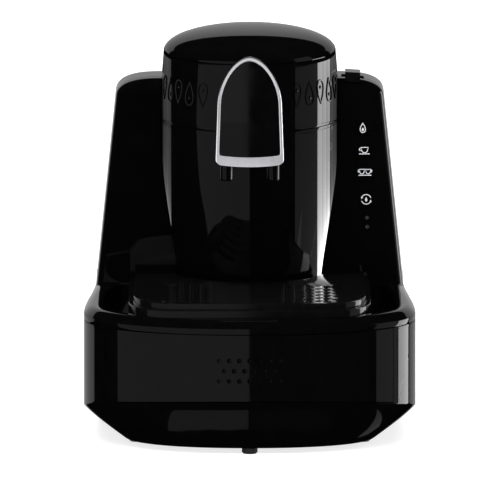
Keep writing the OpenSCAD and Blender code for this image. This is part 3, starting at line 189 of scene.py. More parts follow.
ROUND = (0.05, 0.05, 1)
GLOSS = surface("gloss_black", 0.0007, 0.0011, (0.03, 0.055), size=9, grain=0.0005, grain_size=1.6)
SATIN = surface("satin_black", 0.0014, 0.0022, (0.08, 0.13), size=6, grain=0.001, grain_size=0.6)
MATT = surface("matt_black", 0.010, 0.017, (0.5, 0.66), size=3, grain=0.03, grain_size=0.5)
DARK = surface("dark_moulding", 0.018, 0.026, (0.42, 0.55), size=5, grain=0.02, grain_size=0.7)
RUBBER = surface("rubber", 0.009, 0.014, (0.62, 0.8), size=2, grain=0.05)
SILICONE = surface("silicone", (0.46, 0.47, 0.48), (0.55, 0.56, 0.57), (0.35, 0.5), size=5, grain=0.01,
                   Subsurface_Weight=0.2, Subsurface_Scale=0.002)
CHROME = surface("chrome", 0.78, 0.84, (0.20, 0.26), metal=1, size=7)
STEEL = surface("brushed_steel", 0.52, 0.64, (0.24, 0.36), metal=1, size=0.7, grain=0.004, grain_size=0.3,
                stretch=(1, 1, 0.03))
TURNED = surface("turned_steel", 0.45, 0.6, (0.2, 0.32), metal=1, size=0.6, grain=0.003, grain_size=0.25,
                 stretch=ROUND)
BRASS = surface("brass", (0.56, 0.40, 0.14), (0.70, 0.52, 0.22), (0.22, 0.34), metal=1, size=1, grain=0.004,
                stretch=ROUND)
CAST = surface("cast_aluminium", 0.36, 0.48, (0.38, 0.52), metal=1, size=2, grain=0.06, grain_size=0.8)
BOARD = surface("board_green", (0.008, 0.055, 0.022), (0.014, 0.095, 0.035), (0.25, 0.4), size=3.5,
                grain=0.03, grain_size=2.5)
LACQUER = surface("grey_lacquer", 0.035, 0.05, (0.35, 0.5), size=6, grain=0.02, grain_size=0.6)
COIL = surface("coil_tape", (0.028, 0.055, 0.10), (0.04, 0.08, 0.14), (0.3, 0.45), size=1, grain=0.03,
               stretch=ROUND)
WHITE = surface("white_moulding", 0.62, 0.70, (0.35, 0.5), size=5, grain=0.01, grain_size=0.6)
LENS = surface("light_guide", 0.018, 0.026, (0.2, 0.3), size=1.2, grain=0.005)
PRINT = surface("pale_print", 0.50, 0.56, (0.45, 0.6), size=0.8, grain=0.004, grain_size=0.25)
SMOKE = surface("smoked_clear", 0.30, 0.36, (0.03, 0.07), size=12, grain=0.001, grain_size=3,
                Transmission_Weight=1.0, IOR=1.49)


# ---- objects
def new_object(name, data):
    obj = bpy.data.objects.new(name, data)
    bpy.context.scene.collection.objects.link(obj)
    return obj


def mesh_object(name, shape, mat=None):
    """New object from points in millimetres and faces."""
    points, faces = shape
    mesh = bpy.data.meshes.new(name)
    mesh.from_pydata([tuple(c * MM for c in p) for p in points], [], faces)
    if mat:
        mesh.materials.append(mat)
    return new_object(name, mesh)


def mended(obj, merge=False, fills=()):
    """Turns an object's faces outwards, after merging its points and filling its open loops.

    Loops at the heights in fills are closed by flat faces, with holes where they nest.
    """
    mesh = bmesh.new()
    mesh.from_mesh(obj.data)
    if merge:
        bmesh.ops.remove_doubles(mesh, verts=mesh.verts, dist=0.002 * MM)
        bmesh.ops.dissolve_degenerate(mesh, edges=mesh.edges, dist=0.001 * MM)
    for height in fills:
        loops = [e for e in mesh.edges
                 if e.is_boundary and all(abs(v.co.z - height * MM) < 1e-6 for v in e.verts)]
        bmesh.ops.triangle_fill(mesh, use_beauty=True, edges=loops)
    bmesh.ops.recalc_face_normals(mesh, faces=mesh.faces)
    mesh.to_mesh(obj.data)
    mesh.free()
    return obj


def shade(obj, angle):
    mesh = obj.data
    mesh.polygons.foreach_set("use_smooth", [True] * len(mesh.polygons))
    mesh.set_sharp_from_angle(angle=math.radians(angle))


def settle(obj, node, stands=True):
    """Rides an object on a node's body, in the node's place if it stands for it."""
    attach(obj, BODIES[node])
    if stands:
        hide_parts(node)


def piece(name, shape, node, mat=GLOSS, smooth=35, fills=(), stands=True):
    """A shape as a piece that belongs to a node."""
    obj = mended(mesh_object(name, shape, mat), True, fills)
    shade(obj, smooth)
    settle(obj, node, stands)
    return obj


def apply_modifiers(obj):
    """Bakes an object's modifiers into its mesh."""
    graph = bpy.context.evaluated_depsgraph_get()
    baked = bpy.data.meshes.new_from_object(obj.evaluated_get(graph))
    obj.modifiers.clear()
    obj.data = baked


def weighted(obj):
    """Keeps flat faces flat beside their rounded edges."""
    modifier = obj.modifiers.new("weighted", "WEIGHTED_NORMAL")
    modifier.mode = "FACE_AREA"
    modifier.keep_sharp = True
    apply_modifiers(obj)


def cut(obj, shapes, how="DIFFERENCE", smooth=40):
    """Takes shapes from a piece, or adds them, and shades it anew."""
    cutters = [mended(mesh_object("cutter", shape)) for shape in shapes]
    for cutter in cutters:
        modifier = obj.modifiers.new("cut", "BOOLEAN")
        modifier.operation = how
        modifier.solver = "EXACT"
        modifier.object = cutter
    apply_modifiers(obj)
    for cutter in cutters:
        bpy.data.objects.remove(cutter)
    shade(obj, smooth)


# ---- points and faces
def spaced(low, high, steps):
    """Evenly spaced numbers from low to high."""
    return [low + (high - low) * k / steps for k in range(steps + 1)]


def curve(cx, cy, rx, ry, start, end, steps=14):
    """Points of an arc between two angles in degrees."""
    turns = [math.radians(angle) for angle in spaced(start, end, steps)]
    return [(cx + rx * math.cos(a), cy + ry * math.sin(a)) for a in turns]


def circle(cx, cy, r, steps, stretch=1):
    """Points round a circle, or an ellipse that is stretched across."""
    return curve(cx, cy, r * stretch, r, 0, 360, steps)[:-1]


def oval(share, bend):
    """Superellipse in place of a cosine and a sine, share of a quarter turn up from its side."""
    a = math.pi / 2 * share
    return max(math.cos(a), 0) ** (2 / bend), math.sin(a) ** (2 / bend)


def quarter(radius, steps):
    """(inset, drop) pairs of a quarter round, from the top face to the side face."""
    turns = [math.pi / 2 * share for share in spaced(0, 1, steps)]
    return [(radius * (1 - math.sin(a)), radius * (1 - math.cos(a))) for a in turns]


def both(half):
    """Closed outline from a right half whose ends lie in the middle."""
    return half + [(-p[0], *p[1:]) for p in reversed(half[1:-1])]


def skin(rings, closed=True, first_cap=True, last_cap=True):
    """Points and faces of a skin through rings of equal length."""
    n = len(rings[0])
    points = [p for ring in rings for p in ring]
    faces = [(k * n + i, k * n + (i + 1) % n, (k + 1) * n + (i + 1) % n, (k + 1) * n + i)
             for k in range(len(rings) - 1) for i in range(n if closed else n - 1)]
    if first_cap:
        faces.append(tuple(reversed(range(n))))
    if last_cap:
        faces.append(tuple(range((len(rings) - 1) * n, len(rings) * n)))
    return points, faces


def sleeve(rings, last_cap=False):
    """A skin through rings that is open at its ends, or only at its first."""
    return skin(rings, True, False, last_cap)


def sheet(rows):
    return skin(rows, False, False, False)


def joined(*parts):
    """Several (points, faces) pairs as one."""
    points, faces = [], []
    for more_points, more_faces in parts:
        shift = len(points)
        points += list(more_points)
        faces += [tuple(i + shift for i in face) for face in more_faces]
    return points, faces


def turned(profile, centre=(0, TOWER_Y), segments=TURN):
    """A solid of revolution about a vertical axis, from (radius, z) points."""
    rings = []
    for angle in spaced(0, 360, segments)[:-1]:
        s, c = math.sin(math.radians(angle)), math.cos(math.radians(angle))
        rings.append([(centre[0] + r * s, centre[1] - r * c, z) for r, z in profile])
    return sleeve(rings + rings[:1])


def flat_z(u, v, w):
    return u, v, w


def facing_front(u, v, w):
    return u, w, v


def facing_side(u, v, w):
    return w, u, v


def prism(outline, low, high, place=flat_z):
    """A straight prism: place(u, v, w) maps outline points and a height to space."""
    return skin([[place(u, v, w) for u, v in outline] for w in (low, high)])


def round_bar(radius, low, high, centre, place):
    """A round bar along the third argument of place."""
    return prism(circle(*centre, radius, 32), low, high, place)


def block(low, high):
    outline = [(low[0], low[1]), (high[0], low[1]), (high[0], high[1]), (low[0], high[1])]
    return prism(outline, low[2], high[2])


def round_tile(x0, x1, y0, y1, r, steps=4, rear=None):
    """Rectangle with round corners, anticlockwise from the front right corner."""
    rear = r if rear is None else rear
    corners = ((x1 - r, y0 + r, r, -90), (x1 - rear, y1 - rear, rear, 0),
               (x0 + rear, y1 - rear, rear, 90), (x0 + r, y0 + r, r, 180))
    return [point for cx, cy, radius, start in corners
            for point in curve(cx, cy, radius, radius, start, start + 90, steps)]


# ---- camera, light, floor
CAMERA_FAR = 13
ELEVATION = math.radians(10)
VIEW_WIDTH = 0.351
TARGET = Vector((0.0002, 0, 0.1233))


def aim(obj, target):
    """Turns a camera or lamp at the end of its own -Z towards a point."""
    obj.rotation_euler = (target - obj.location).to_track_quat("-Z", "Y").to_euler()


def make_camera():
    data = bpy.data.cameras.new("camera")
    data.sensor_width = 36
    data.lens = data.sensor_width * CAMERA_FAR / VIEW_WIDTH
    obj = new_object("camera", data)
    obj.location = TARGET + CAMERA_FAR * Vector((0, -math.cos(ELEVATION), math.sin(ELEVATION)))
    aim(obj, TARGET)
    bpy.context.scene.camera = obj


# Soft boxes for the floor and all matt surfaces: centre and size in metres, radiance, and what they face
MATT_PANELS = {
    "key": ((-0.3, -0.9, 2.4), (2.2, 2.2), 9, (0, 0.1, 0)),
    "fill": ((0.6, 1.6, 2.0), (2.0, 1.6), 5, (0, 0.2, 0))}

# Cards for gloss: dim in front on the left, whose right edge shows in every flat front face, dim and bright
# on the right, behind for the dome and the tops, and from plate_card on for some pieces only: see aim_lamps()
GLOSS_PANELS = {
    "front_card": ((-0.93, -0.6, 0.0), (1.858, 1.1), 0.23, (-0.93, 1, 0.0)),
    "front_right": ((0.5, -0.6, 0.0), (1.0, 1.1), 0.01, (0.5, 1, 0.0)),
    "side_card": ((0.8, -0.19, 0.2), (0.42, 1.0), 0.27, (0, -0.19, 0.2)),
    "side_strip": ((0.8, 0.24, 0.2), (0.40, 1.1), 4, (0, 0.24, 0.2)),
    "deck_strip": ((0.8, 0.24, -0.1), (0.40, 0.5), 4, (0, 0.24, -0.1)),
    "back_card": ((-0.5, 1.2, 0.20), (4.1, 1.40), 0.5, (-0.5, 0, 0.20)),
    "dome_card": ((0, 1.2, 0.55), (2.4, 0.7), 0.42, (0, 0, 0.55)),
    "plate_card": ((-0.93, -0.6, 1.35), (1.858, 1.6), 0.30, (-0.93, 1, 1.35)),
    "plating_card": ((0, -0.6, 0.9), (2.4, 3.0), 0.42, (0, 1, 0.9)),
    "plating_glow": ((0.004, -0.3, 0.11), (0.05, 0.12), 0.6, (0.004, 0, 0.11)),
    "plating_left": ((-0.7, -0.1, 0.2), (0.9, 0.9), 1.4, (0, -0.1, 0.2)),
    "plating_right": ((0.7, -0.1, 0.2), (0.9, 0.9), 1.1, (0, -0.1, 0.2)),
    "band_card": ((-0.8, 0.1, 0.3), (0.7, 0.9), 0.4, (0, 0, 0.2)),
    "plating_top": ((0, -0.2, 1.0), (0.9, 0.9), 0.4, (0, -0.1, 0.2))}


def make_panels(panels, for_gloss):
    """Soft boxes seen by gloss or by matt surfaces only."""
    for name, (centre, size, glow, target) in panels.items():
        data = bpy.data.lights.new(name, "AREA")
        data.shape = "RECTANGLE"
        data.size, data.size_y = size
        data.energy = glow * math.pi * size[0] * size[1]
        obj = new_object(name, data)
        obj.location = centre
        aim(obj, Vector(target))
        obj.visible_camera = False
        obj.visible_glossy = for_gloss
        obj.visible_diffuse = not for_gloss


# Cards seen in the hull only: glow, and corners (x, y) in millimetres, all at one height under the floor
CARD_Z = -600
TRAPEZOID = ((-4, -699), (-26, -697), (-183, -665), (-286, -618), (-371, -560),
             (-354, -310), (-252, -414), (-153, -473), (-30, -501), (-4, -503))
HULL_CARDS = {
    "hull_left": (0.18, TRAPEZOID),
    "hull_right": (0.015, [(-x, y) for x, y in TRAPEZOID]),
    "hull_crescent": (0.30, ((643, -136), (572, 151), (514, 361), (487, 280), (467, 78),
                             (500, 110), (541, 51), (589, -40)))}


def glowing(name, glow):
    """Material that glows and lets everything through."""
    mat = bpy.data.materials.new(name)
    mat.use_nodes = True
    tree = mat.node_tree
    tree.nodes.remove(tree.nodes["Principled BSDF"])
    light = add_node(tree, "Emission", Strength=glow)
    clear = add_node(tree, "BsdfTransparent")
    both_ways = add_node(tree, "AddShader")
    tree.links.new(light.outputs["Emission"], both_ways.inputs[0])
    tree.links.new(clear.outputs["BSDF"], both_ways.inputs[1])
    tree.links.new(both_ways.outputs["Shader"], tree.nodes["Material Output"].inputs["Surface"])
    return mat


def card(name, glow, shape):
    """A clear glowing sheet seen by gloss only."""
    obj = mesh_object(name, shape, glowing(name, glow))
    for way in ("camera", "diffuse", "shadow", "transmission"):
        setattr(obj, "visible_" + way, False)


def make_hull_cards():
    for name, (glow, corners) in HULL_CARDS.items():
        card(name, glow, patch([(x, y, CARD_Z) for x, y in corners]))


def patch(points):
    return points, [tuple(range(len(points)))]


# Cards seen in the tower only: glow, and the two x in millimetres between which their image stands upright
TOWER_CARDS = {
    "tower_edge_left": (0.10, -61, -60), "tower_rim_left": (0.22, -60, -58.3),
    "tower_strip_left": (0.36, -58.3, -55.2), "tower_dim": (0.22, 31.8, 47.6),
    "tower_bright_1": (5.6, 47.6, 50.6), "tower_bright_2": (4.4, 50.6, 53.6),
    "tower_bright_3": (3.1, 53.6, 56.2), "tower_strip_right": (0.45, 56.2, 58.5),
    "tower_rim_right": (0.25, 58.5, 60.2), "tower_edge_right": (0.12, 60.2, 61)}
CARD_REACH = 600


def mirrored_spot(x, z):
    """Where the camera's ray that meets the tower at x and z goes on to, before the wings' faces."""
    view = Vector((0, math.cos(ELEVATION), -math.sin(ELEVATION)))
    r = tower_rad(z)
    slope = tower_rad(z + 0.5) - tower_rad(z - 0.5)
    s = max(-0.995, min(0.995, x / r))
    c = math.sqrt(1 - s * s)
    spot = Vector((s * r, TOWER_Y - c * r, z))
    normal = Vector((s, -c, -slope)).normalized()
    way = view - 2 * view.dot(normal) * normal
    reach = max(0.1, WING_Y - 0.5 - spot.y) / max(0.01, way.y)
    return tuple(spot + min(reach, CARD_REACH) * way)


def make_tower_cards():
    """Cards that lie where the tower, as the camera sees it, mirrors an upright strip."""
    spans = ((CROWN_Z + 2, COLLAR_Z - 0.7), (COLLAR_Z + 0.7, LID_SEAM - 0.5))
    for name, (glow, x0, x1) in TOWER_CARDS.items():
        strips = [sheet([[mirrored_spot(x, z) for x in (x0, x1)] for z in spaced(low, high, 12)])
                  for low, high in spans]
        card(name, glow, joined(*strips))


def aim_lamps():
    """Limits lamps and cards to the pieces that they are for."""
    def named(*names):
        return [bpy.data.objects[name] for name in names]

    wings = named("wing_shell", *(node + "_cap" for node in SIGNS))
    base, deck, lid = named("base_shell"), named("deck_shell"), named("lid_dome")
    tower = named("tower_skin", "collar_skin", "collar_band")
    tank = named("water_tank_shell", "tank_lid_shell")
    rows = [(name, named("spout_band"), "INCLUDE") for name in GLOSS_PANELS if name.startswith("plating")]
    rows += [(name, base, "INCLUDE") for name in HULL_CARDS]
    rows += [(name, tower, "INCLUDE") for name in TOWER_CARDS]
    rows += [("front_card", wings + base, "EXCLUDE"), ("front_right", base, "EXCLUDE"),
             ("plate_card", named("spout_panel"), "INCLUDE"), ("side_card", tower, "EXCLUDE"),
             ("side_strip", tower + deck + lid + tank, "EXCLUDE"), ("deck_strip", deck + lid, "INCLUDE"),
             ("back_card", tower + lid, "EXCLUDE"), ("dome_card", lid, "INCLUDE"),
             ("band_card", named("collar_band"), "INCLUDE")]
    for name, pieces, state in rows:
        group = bpy.data.collections.new(name + "_receivers")
        for obj in pieces:
            group.objects.link(obj)
        for entry in group.collection_objects:
            entry.light_linking.link_state = state
        bpy.data.objects[name].light_linking.receiver_collection = group


def make_world():
    """White to the camera, soft to matt surfaces and dark to gloss."""
    world = bpy.data.worlds.new("world")
    bpy.context.scene.world = world
    world.use_nodes = True
    tree = world.node_tree
    dark = tree.nodes["Background"]
    dark.inputs["Color"].default_value = (0.6, 0.62, 0.65, 1)
    dark.inputs["Strength"].default_value = 0.0015
    soft = add_node(tree, "Background", Color=(1, 1, 1, 1), Strength=0.8)
    paths = add_node(tree, "LightPath").outputs
    either = add_node(tree, "Math")
    either.operation = "MAXIMUM"
    mix = add_node(tree, "MixShader", Fac=either.outputs["Value"])
    tree.links.new(paths["Is Camera Ray"], either.inputs[0])
    tree.links.new(paths["Is Diffuse Ray"], either.inputs[1])
    tree.links.new(dark.outputs["Background"], mix.inputs[1])
    tree.links.new(soft.outputs["Background"], mix.inputs[2])
    tree.links.new(mix.outputs["Shader"], tree.nodes["World Output"].inputs["Surface"])


def make_floor():
    far = 6000
    paper = surface("paper", 0.42, 0.44, (0.5, 0.6), size=60, grain=0.01,
                    Emission_Color=(1, 1, 1, 1), Emission_Strength=0.78)
    obj = mesh_object("floor", patch([(-far, -far, 0), (far, -far, 0), (far, far, 0), (-far, far, 0)]), paper)
    obj.visible_glossy = False


# ---- base
def plan_half(half_w, wide_y, deep, flank_x, tuck):
    """Right half of an outline, from the front middle to the back middle.

    The nose is half_w wide and deep long up to wide_y. Then flank_x(y) and a rear corner, in by tuck, follow.
    """
    nose = [oval(share, NOSE_BEND) for share in spaced(0, 1, 44)]
    half = [(half_w * s, wide_y - deep * c) for c, s in nose]
    half += [(flank_x(y), y) for y in spaced(wide_y, REAR_Y, 20)[1:]]
    half += curve(HALF_W - TAIL_IN - REAR_R, REAR_Y, REAR_R - tuck, REAR_R - tuck, 0, 90)[1:]
    return half + [(0, BACK_Y - tuck)]


def side_x(y):
    """Half width of the base along its flanks."""
    s = min(1, max(0, y - WIDE_Y) / TAIL_LEN)
    return HALF_W - TAIL_IN * s * s * (3 - 2 * s)


def base_half(t):
    """Right half of the base's outline, moved in by t."""
    return plan_half(HALF_W - t, WIDE_Y, NOSE_D - t, lambda y: side_x(y) - t, t)


def foot_half(t):
    """Right half of the hull's foot, moved in by t."""
    def flank_x(y):
        wide = HULL_W / 2 + (y - HULL_Y) * math.tan(HULL_TAPER)
        most = side_x(y) - HULL_TUCK
        return (wide + most - math.hypot(wide - most, HULL_BEND)) / 2 - t

    return plan_half(HULL_W / 2 - t, HULL_Y, HULL_NOSE - t, flank_x, t + HULL_TUCK)


def level(t, z):
    return both([(x, y, z) for x, y in base_half(t)])


def crease(y):
    return max(CREASE_LOW, CREASE_Z - (y - FRONT_Y) * CREASE_RISE)


def hull_ring(up, t=0):
    """Ring of the hull, from 0 at its foot to 1 at the crease."""
    share = (1 - up) ** 1.2
    return both([(x + (u - x) * share, y + (v - y) * share, FOOT_Z + up * (crease(at) - FOOT_Z))
                 for (x, y), (u, v), (_, at) in zip(base_half(t), foot_half(t), base_half(0))])


def wall_ring(t, up):
    """Ring over the crease, up from 0 at the crease to 1 at the seam."""
    return both([(x, y, crease(at) * (1 - up) + SEAM_Z * up)
                 for (x, y), (_, at) in zip(base_half(t), base_half(0))])


def make_base():
    """Hull and walls, with a fine radius at the crease and at the seam."""
    lift = 0.5 / (SEAM_Z - CREASE_Z)
    rings = [hull_ring(0, 1), hull_ring(0.008, 0.3)]
    rings += [hull_ring(up) for up in (0.03, 0.06, 0.1, 0.16, 0.24, 0.33, 0.43, 0.54, 0.65, 0.76, 0.86, 0.94,
                                       0.985)]
    rings += [wall_ring(t, up) for t, up in ((0.06, 0.002), (0, lift), (0, 3 * lift), (0, 1 - 3 * lift),
                                             (0, 1 - lift), (0.15, 1 - 0.3 * lift), (0.5, 1))]
    rings += [level(WALL, SEAM_Z), [(x, y, z + 0.5) for x, y, z in hull_ring(1, WALL)], hull_ring(0.6, WALL)]
    rings.append([(x, y, FLOOR_Z) for x, y, _ in hull_ring(0, WALL)])
    shell = piece("base_shell", skin(rings), "base_housing")
    lap = 8
    well = round_tile(under_low.x + lap, under_high.x - lap, under_low.y + lap, under_high.y - lap, lap)
    mouth = front_high.x + SEAM
    deep = front_high.y
    before = 9
    above = 120
    profile = [(FRONT_Y - before, CREASE_Z + before * CREASE_RISE),
               (deep, CREASE_Z - (deep - FRONT_Y) * CREASE_RISE), (deep, above), (FRONT_Y - before, above)]
    cut(shell, [prism(profile, -mouth, mouth, facing_side), prism(well, -1, FLOOR_Z + 1)])


# ---- deck
BASIN_IN = 13
BASIN_FLOOR = 72
SLOPE_W = 8
LIP = 0.6
RIM_Z = 91.6
ISLAND_R = FOOT_R + 3
BASIN_BACK = wing_low.y - 2
BASIN_EYE = (0, -75)
BASIN_TUCK = 6
BASIN_TUCK_Y = -15
STEP_GAP = 0.8
STEP_R = 34


def reach(outline, angle):
    """Distance from the basin's middle to a closed outline, along an angle."""
    dx, dy = math.cos(angle), math.sin(angle)
    best = 0
    for (x0, y0), (x1, y1) in zip(outline, outline[1:] + outline[:1]):
        ax, ay = x0 - BASIN_EYE[0], y0 - BASIN_EYE[1]
        bx, by = x1 - x0, y1 - y0
        across = dx * by - dy * bx
        if abs(across) > 1e-9:
            far = (ax * by - ay * bx) / across
            along = (ax * dy - ay * dx) / across
            if far > 0 and -1e-6 <= along <= 1 + 1e-6:
                best = max(best, far)
    return best


def round_back(half, y1, r, steps):
    """Ends a right half: along y1 to a circle of radius r round the tower, and on it to the middle."""
    x2 = math.sqrt(r ** 2 - (y1 - TOWER_Y) ** 2)
    half += [(x, y1) for x in spaced(half[-1][0], x2, 6)[1:-1]]
    half += curve(0, TOWER_Y, r, r, math.degrees(math.atan2(y1 - TOWER_Y, x2)), -90, steps)
    half[-1] = (0, half[-1][1])
    return half


def basin_ring(t, z):
    """The basin's edge, moved out by t: front and side, back, and round the tower's island."""
    wide = both([(x - BASIN_TUCK * (max(0, y - BASIN_TUCK_Y) / (BASIN_BACK - BASIN_TUCK_Y)) ** 2, y)
                 for x, y in base_half(BASIN_IN - t)])
    grow = STEP_GAP + t
    nest = round_tile(step_low.x - grow, step_high.x + grow, step_low.y - grow, 100, STEP_R + grow, 20)
    y1 = BASIN_BACK + t
    x1 = max(x for x, y in wide if abs(y - y1) < 6)
    half = []
    for angle in spaced(-math.pi / 2, math.atan2(y1 - BASIN_EYE[1], x1), 64):
        far = max(reach(wide, angle), reach(nest, angle))
        half.append((far * math.cos(angle), min(y1, BASIN_EYE[1] + far * math.sin(angle))))
    half[0] = (0, half[0][1])
    return both([(x, y, z) for x, y in round_back(half, y1, ISLAND_R - t, 26)])


def make_deck():
    """Rim with its soft crown, and the basin with rounded edges, as one closed shell."""
    gap_z = SEAM_Z + SEAM
    rows = [(SLOPE_W + 1, CROWN_Z - WALL), (WALL, RIM_Z - WALL), (WALL, gap_z), (0.5, gap_z),
            (0.15, gap_z + 0.15), (0, gap_z + 0.5), (0, RIM_Z - 2 * LIP), (LIP * 0.07, RIM_Z - 1.45 * LIP),
            (LIP * 0.3, RIM_Z - 0.8 * LIP), (LIP, RIM_Z - 0.1)]
    rows += [(LIP + (SLOPE_W - LIP) * f, CROWN_Z - (CROWN_Z - RIM_Z) * (1 - f) ** 2)
             for f in spaced(0, 1, 12)[1:]]
    outer = sleeve([level(t, z) for t, z in rows])
    wells = [(inset, CROWN_Z - drop) for inset, drop in quarter(1.1, 5)]
    wells += [(0, BASIN_FLOOR + 2), (-0.6, BASIN_FLOOR + 0.6), (-2, BASIN_FLOOR)]
    basin = sleeve([basin_ring(t, z) for t, z in wells], True)
    under = sleeve([basin_ring(WALL, CROWN_Z - WALL), basin_ring(WALL, BASIN_FLOOR - WALL)], True)
    piece("deck_shell", joined(outer, basin, under), "deck", fills=(CROWN_Z, CROWN_Z - WALL))


# ---- cup platform
TREAD_W = 3.5
TREAD_UP = 4.5
SHELF_CORNERS = (STEP_R, 8)
TREAD_CORNERS = (STEP_R + 1.5, 10.5)
BITE_R = ISLAND_R + 4
DRIP_R = 1.7
DRIP_PITCH = (7.3, 12.2)
DRIP_IN = 7.6
CUP_X = 40


def step_ring(inset, z, corners, bite_out):
    """Outline of a tread with the bite for the tower, moved in by inset."""
    x1, y0, y1 = step_high.x - inset, step_low.y + inset, step_high.y - inset
    front_r, rear_r = max(corners[0] - inset, 1), max(corners[1] - inset, 0.5)
    half = [(x, y0) for x in spaced(0, x1 - front_r, 8)[:-1]]
    half += curve(x1 - front_r, y0 + front_r, front_r, front_r, -90, 0, 16)
    half += curve(x1 - rear_r, y1 - rear_r, rear_r, rear_r, 0, 90, 8)
    return both([(x, y, z) for x, y in round_back(half, y1, BITE_R + bite_out, 28)])


def drip_hole(x, y, top, low):
    """Skin of one drip hole with a soft mouth."""
    profile = ((DRIP_R + 0.35, top), (DRIP_R + 0.1, top - 0.1), (DRIP_R, top - 0.4), (DRIP_R, low))
    return sleeve([[(u, v, z) for u, v in circle(x, y, r, 20)] for r, z in profile])


def make_platform():
    """Two treads with rounded edges, and two fields of drip holes."""
    top, low = step_high.z, step_low.z
    shelf = top - TREAD_UP
    fine = 0.3
    soft = quarter(0.8, 4)[::-1]
    rows = [(WALL + TREAD_W, top - WALL, SHELF_CORNERS, WALL), (WALL, low, SHELF_CORNERS, WALL),
            (fine, low, SHELF_CORNERS, fine), (0, low + fine, SHELF_CORNERS, 0)]
    rows += [(i, shelf - d, SHELF_CORNERS, 0) for i, d in soft]
    rows += [(TREAD_W - fine, shelf, TREAD_CORNERS, 0), (TREAD_W, shelf + fine, TREAD_CORNERS, 0)]
    rows += [(TREAD_W + i, top - d, TREAD_CORNERS, i) for i, d in soft]
    parts = [sleeve([step_ring(*row) for row in rows])]
    first_y = step_low.y + TREAD_W + DRIP_IN
    for side in (-1, 1):
        for column in range(-2, 3):
            for row in range(6):
                x = side * CUP_X + column * DRIP_PITCH[0]
                parts.append(drip_hole(x, first_y + row * DRIP_PITCH[1], top, top - WALL))
    piece("platform_shell", joined(*parts), "cup_platform", SATIN, fills=(top, top - WALL))


# ---- drawer front
DIMPLE_R = 1.7
DIMPLE_DEEP = 1.4
DIMPLE_PITCH = 7.2
DIMPLE_Z = 54.2
DIMPLE_ROWS = (7, 6, 7)


def front_line(t, reach_x):
    """Points of the front between -reach_x and reach_x, evenly spaced across."""
    line = []
    for x in spaced(-reach_x, reach_x, 120):
        s = min(1, abs(x) / (HALF_W - t))
        line.append((x, WIDE_Y - (NOSE_D - t) * (1 - s ** NOSE_BEND) ** (1 / NOSE_BEND)))
    return line


def dimple(x, z):
    """A ball that presses a dimple into the front."""
    ball = (DIMPLE_R ** 2 + DIMPLE_DEEP ** 2) / (2 * DIMPLE_DEEP)
    centre = FRONT_Y + DIMPLE_DEEP - ball
    return skin([[(u, centre - ball * math.cos(a), v) for u, v in circle(x, z, ball * math.sin(a), 24)]
                 for a in spaced(0, math.pi, 12)[1:-1]])


def make_drawer():
    """Curved panel with rounded edges and three rows of dimples."""
    thick = 3
    lift = 0.4 * math.hypot(1, CREASE_RISE)
    soft = 0.5
    # Depth, distance from the edge, and whether that edge is the upper one
    section = [(soft * 0.3, 0.3 * soft, 0), (0, soft, 0), (0, 2 * soft, 0), (0, 2 * soft, 1), (0, soft, 1),
               (soft * 0.3, 0.3 * soft, 1), (soft, 0, 1), (thick, 0, 1), (thick, 0, 0), (soft, 0, 0)]
    rows = []
    for t, edge, upper in section:
        line = front_line(t, front_high.x)
        low = [CREASE_Z - (y - FRONT_Y) * CREASE_RISE + lift + edge for _, y in line]
        rows.append([(x, y, SEAM_Z - edge if upper else z) for (x, y), z in zip(line, low)])
    front = piece("drawer_panel", skin(list(zip(*rows))), "drawer_front")
    balls = [dimple((k - (many - 1) / 2) * DIMPLE_PITCH, DIMPLE_Z + row * DIMPLE_PITCH)
             for row, many in enumerate(DIMPLE_ROWS) for k in range(many)]
    cut(front, [joined(*balls)])


# ---- tower, collar, lid
LEAF_W = 4.9
LEAF_H = 8.2
BAND_Z = 237.8
RAISED = 0.7
LEDGE_Z = 252
LEDGE_R = 52
LEDGE_T = 2
LEDGE_FOOT = 6.5
HINGE_Y = (pin_low.y + pin_high.y) / 2
HINGE_Z = (pin_low.z + pin_high.z) / 2
PIN_R = (pin_high.z - pin_low.z) / 2
KNUCKLE_R = 4
LUG_W = 24
EAR_W = 5
EAR_DEEP = 12
EAR_X = LUG_W / 2 + SEAM


def tower_rad(z):
    if z < COLLAR_Z:
        flare = math.sin(math.pi / 2 * max(0, z - CROWN_Z) / (COLLAR_Z - CROWN_Z)) ** 1.3
        return FOOT_R + (TOWER_R - FOOT_R) * flare
    return TOWER_R - (TOWER_R - LID_R) * ((z - COLLAR_Z) / (LID_SEAM - COLLAR_Z)) ** 1.6


def tower_line(low, high, steps):
    """Outer profile between two heights, with a small radius at both ends."""
    soft = 0.35
    line = [(tower_rad(low) - soft, low), (tower_rad(low) - 0.3 * soft, low + 0.3 * soft)]
    line += [(tower_rad(z), z) for z in spaced(low + soft, high - soft, steps)]
    return line + [(tower_rad(high) - 0.3 * soft, high - 0.3 * soft), (tower_rad(high) - soft, high)]


def on_collar(angle, z, out):
    """A point over the collar's wall; the angle runs from the front towards +X."""
    r = tower_rad(z) + out
    a = math.radians(angle)
    return r * math.sin(a), TOWER_Y - r * math.cos(a), z


def leaf(angle, height, way):
    """Outline of a drop-shaped leaf, as (angle, height) pairs on the collar; way is 1 with its tip up."""
    outline = []
    for a in spaced(0, 2 * math.pi, 32)[:-1]:
        u = LEAF_W * math.sin(a) * (0.5 - 0.5 * math.cos(a)) ** 0.6
        outline.append((angle + math.degrees(u / TOWER_R), height + way * LEAF_H * math.cos(a)))
    return outline


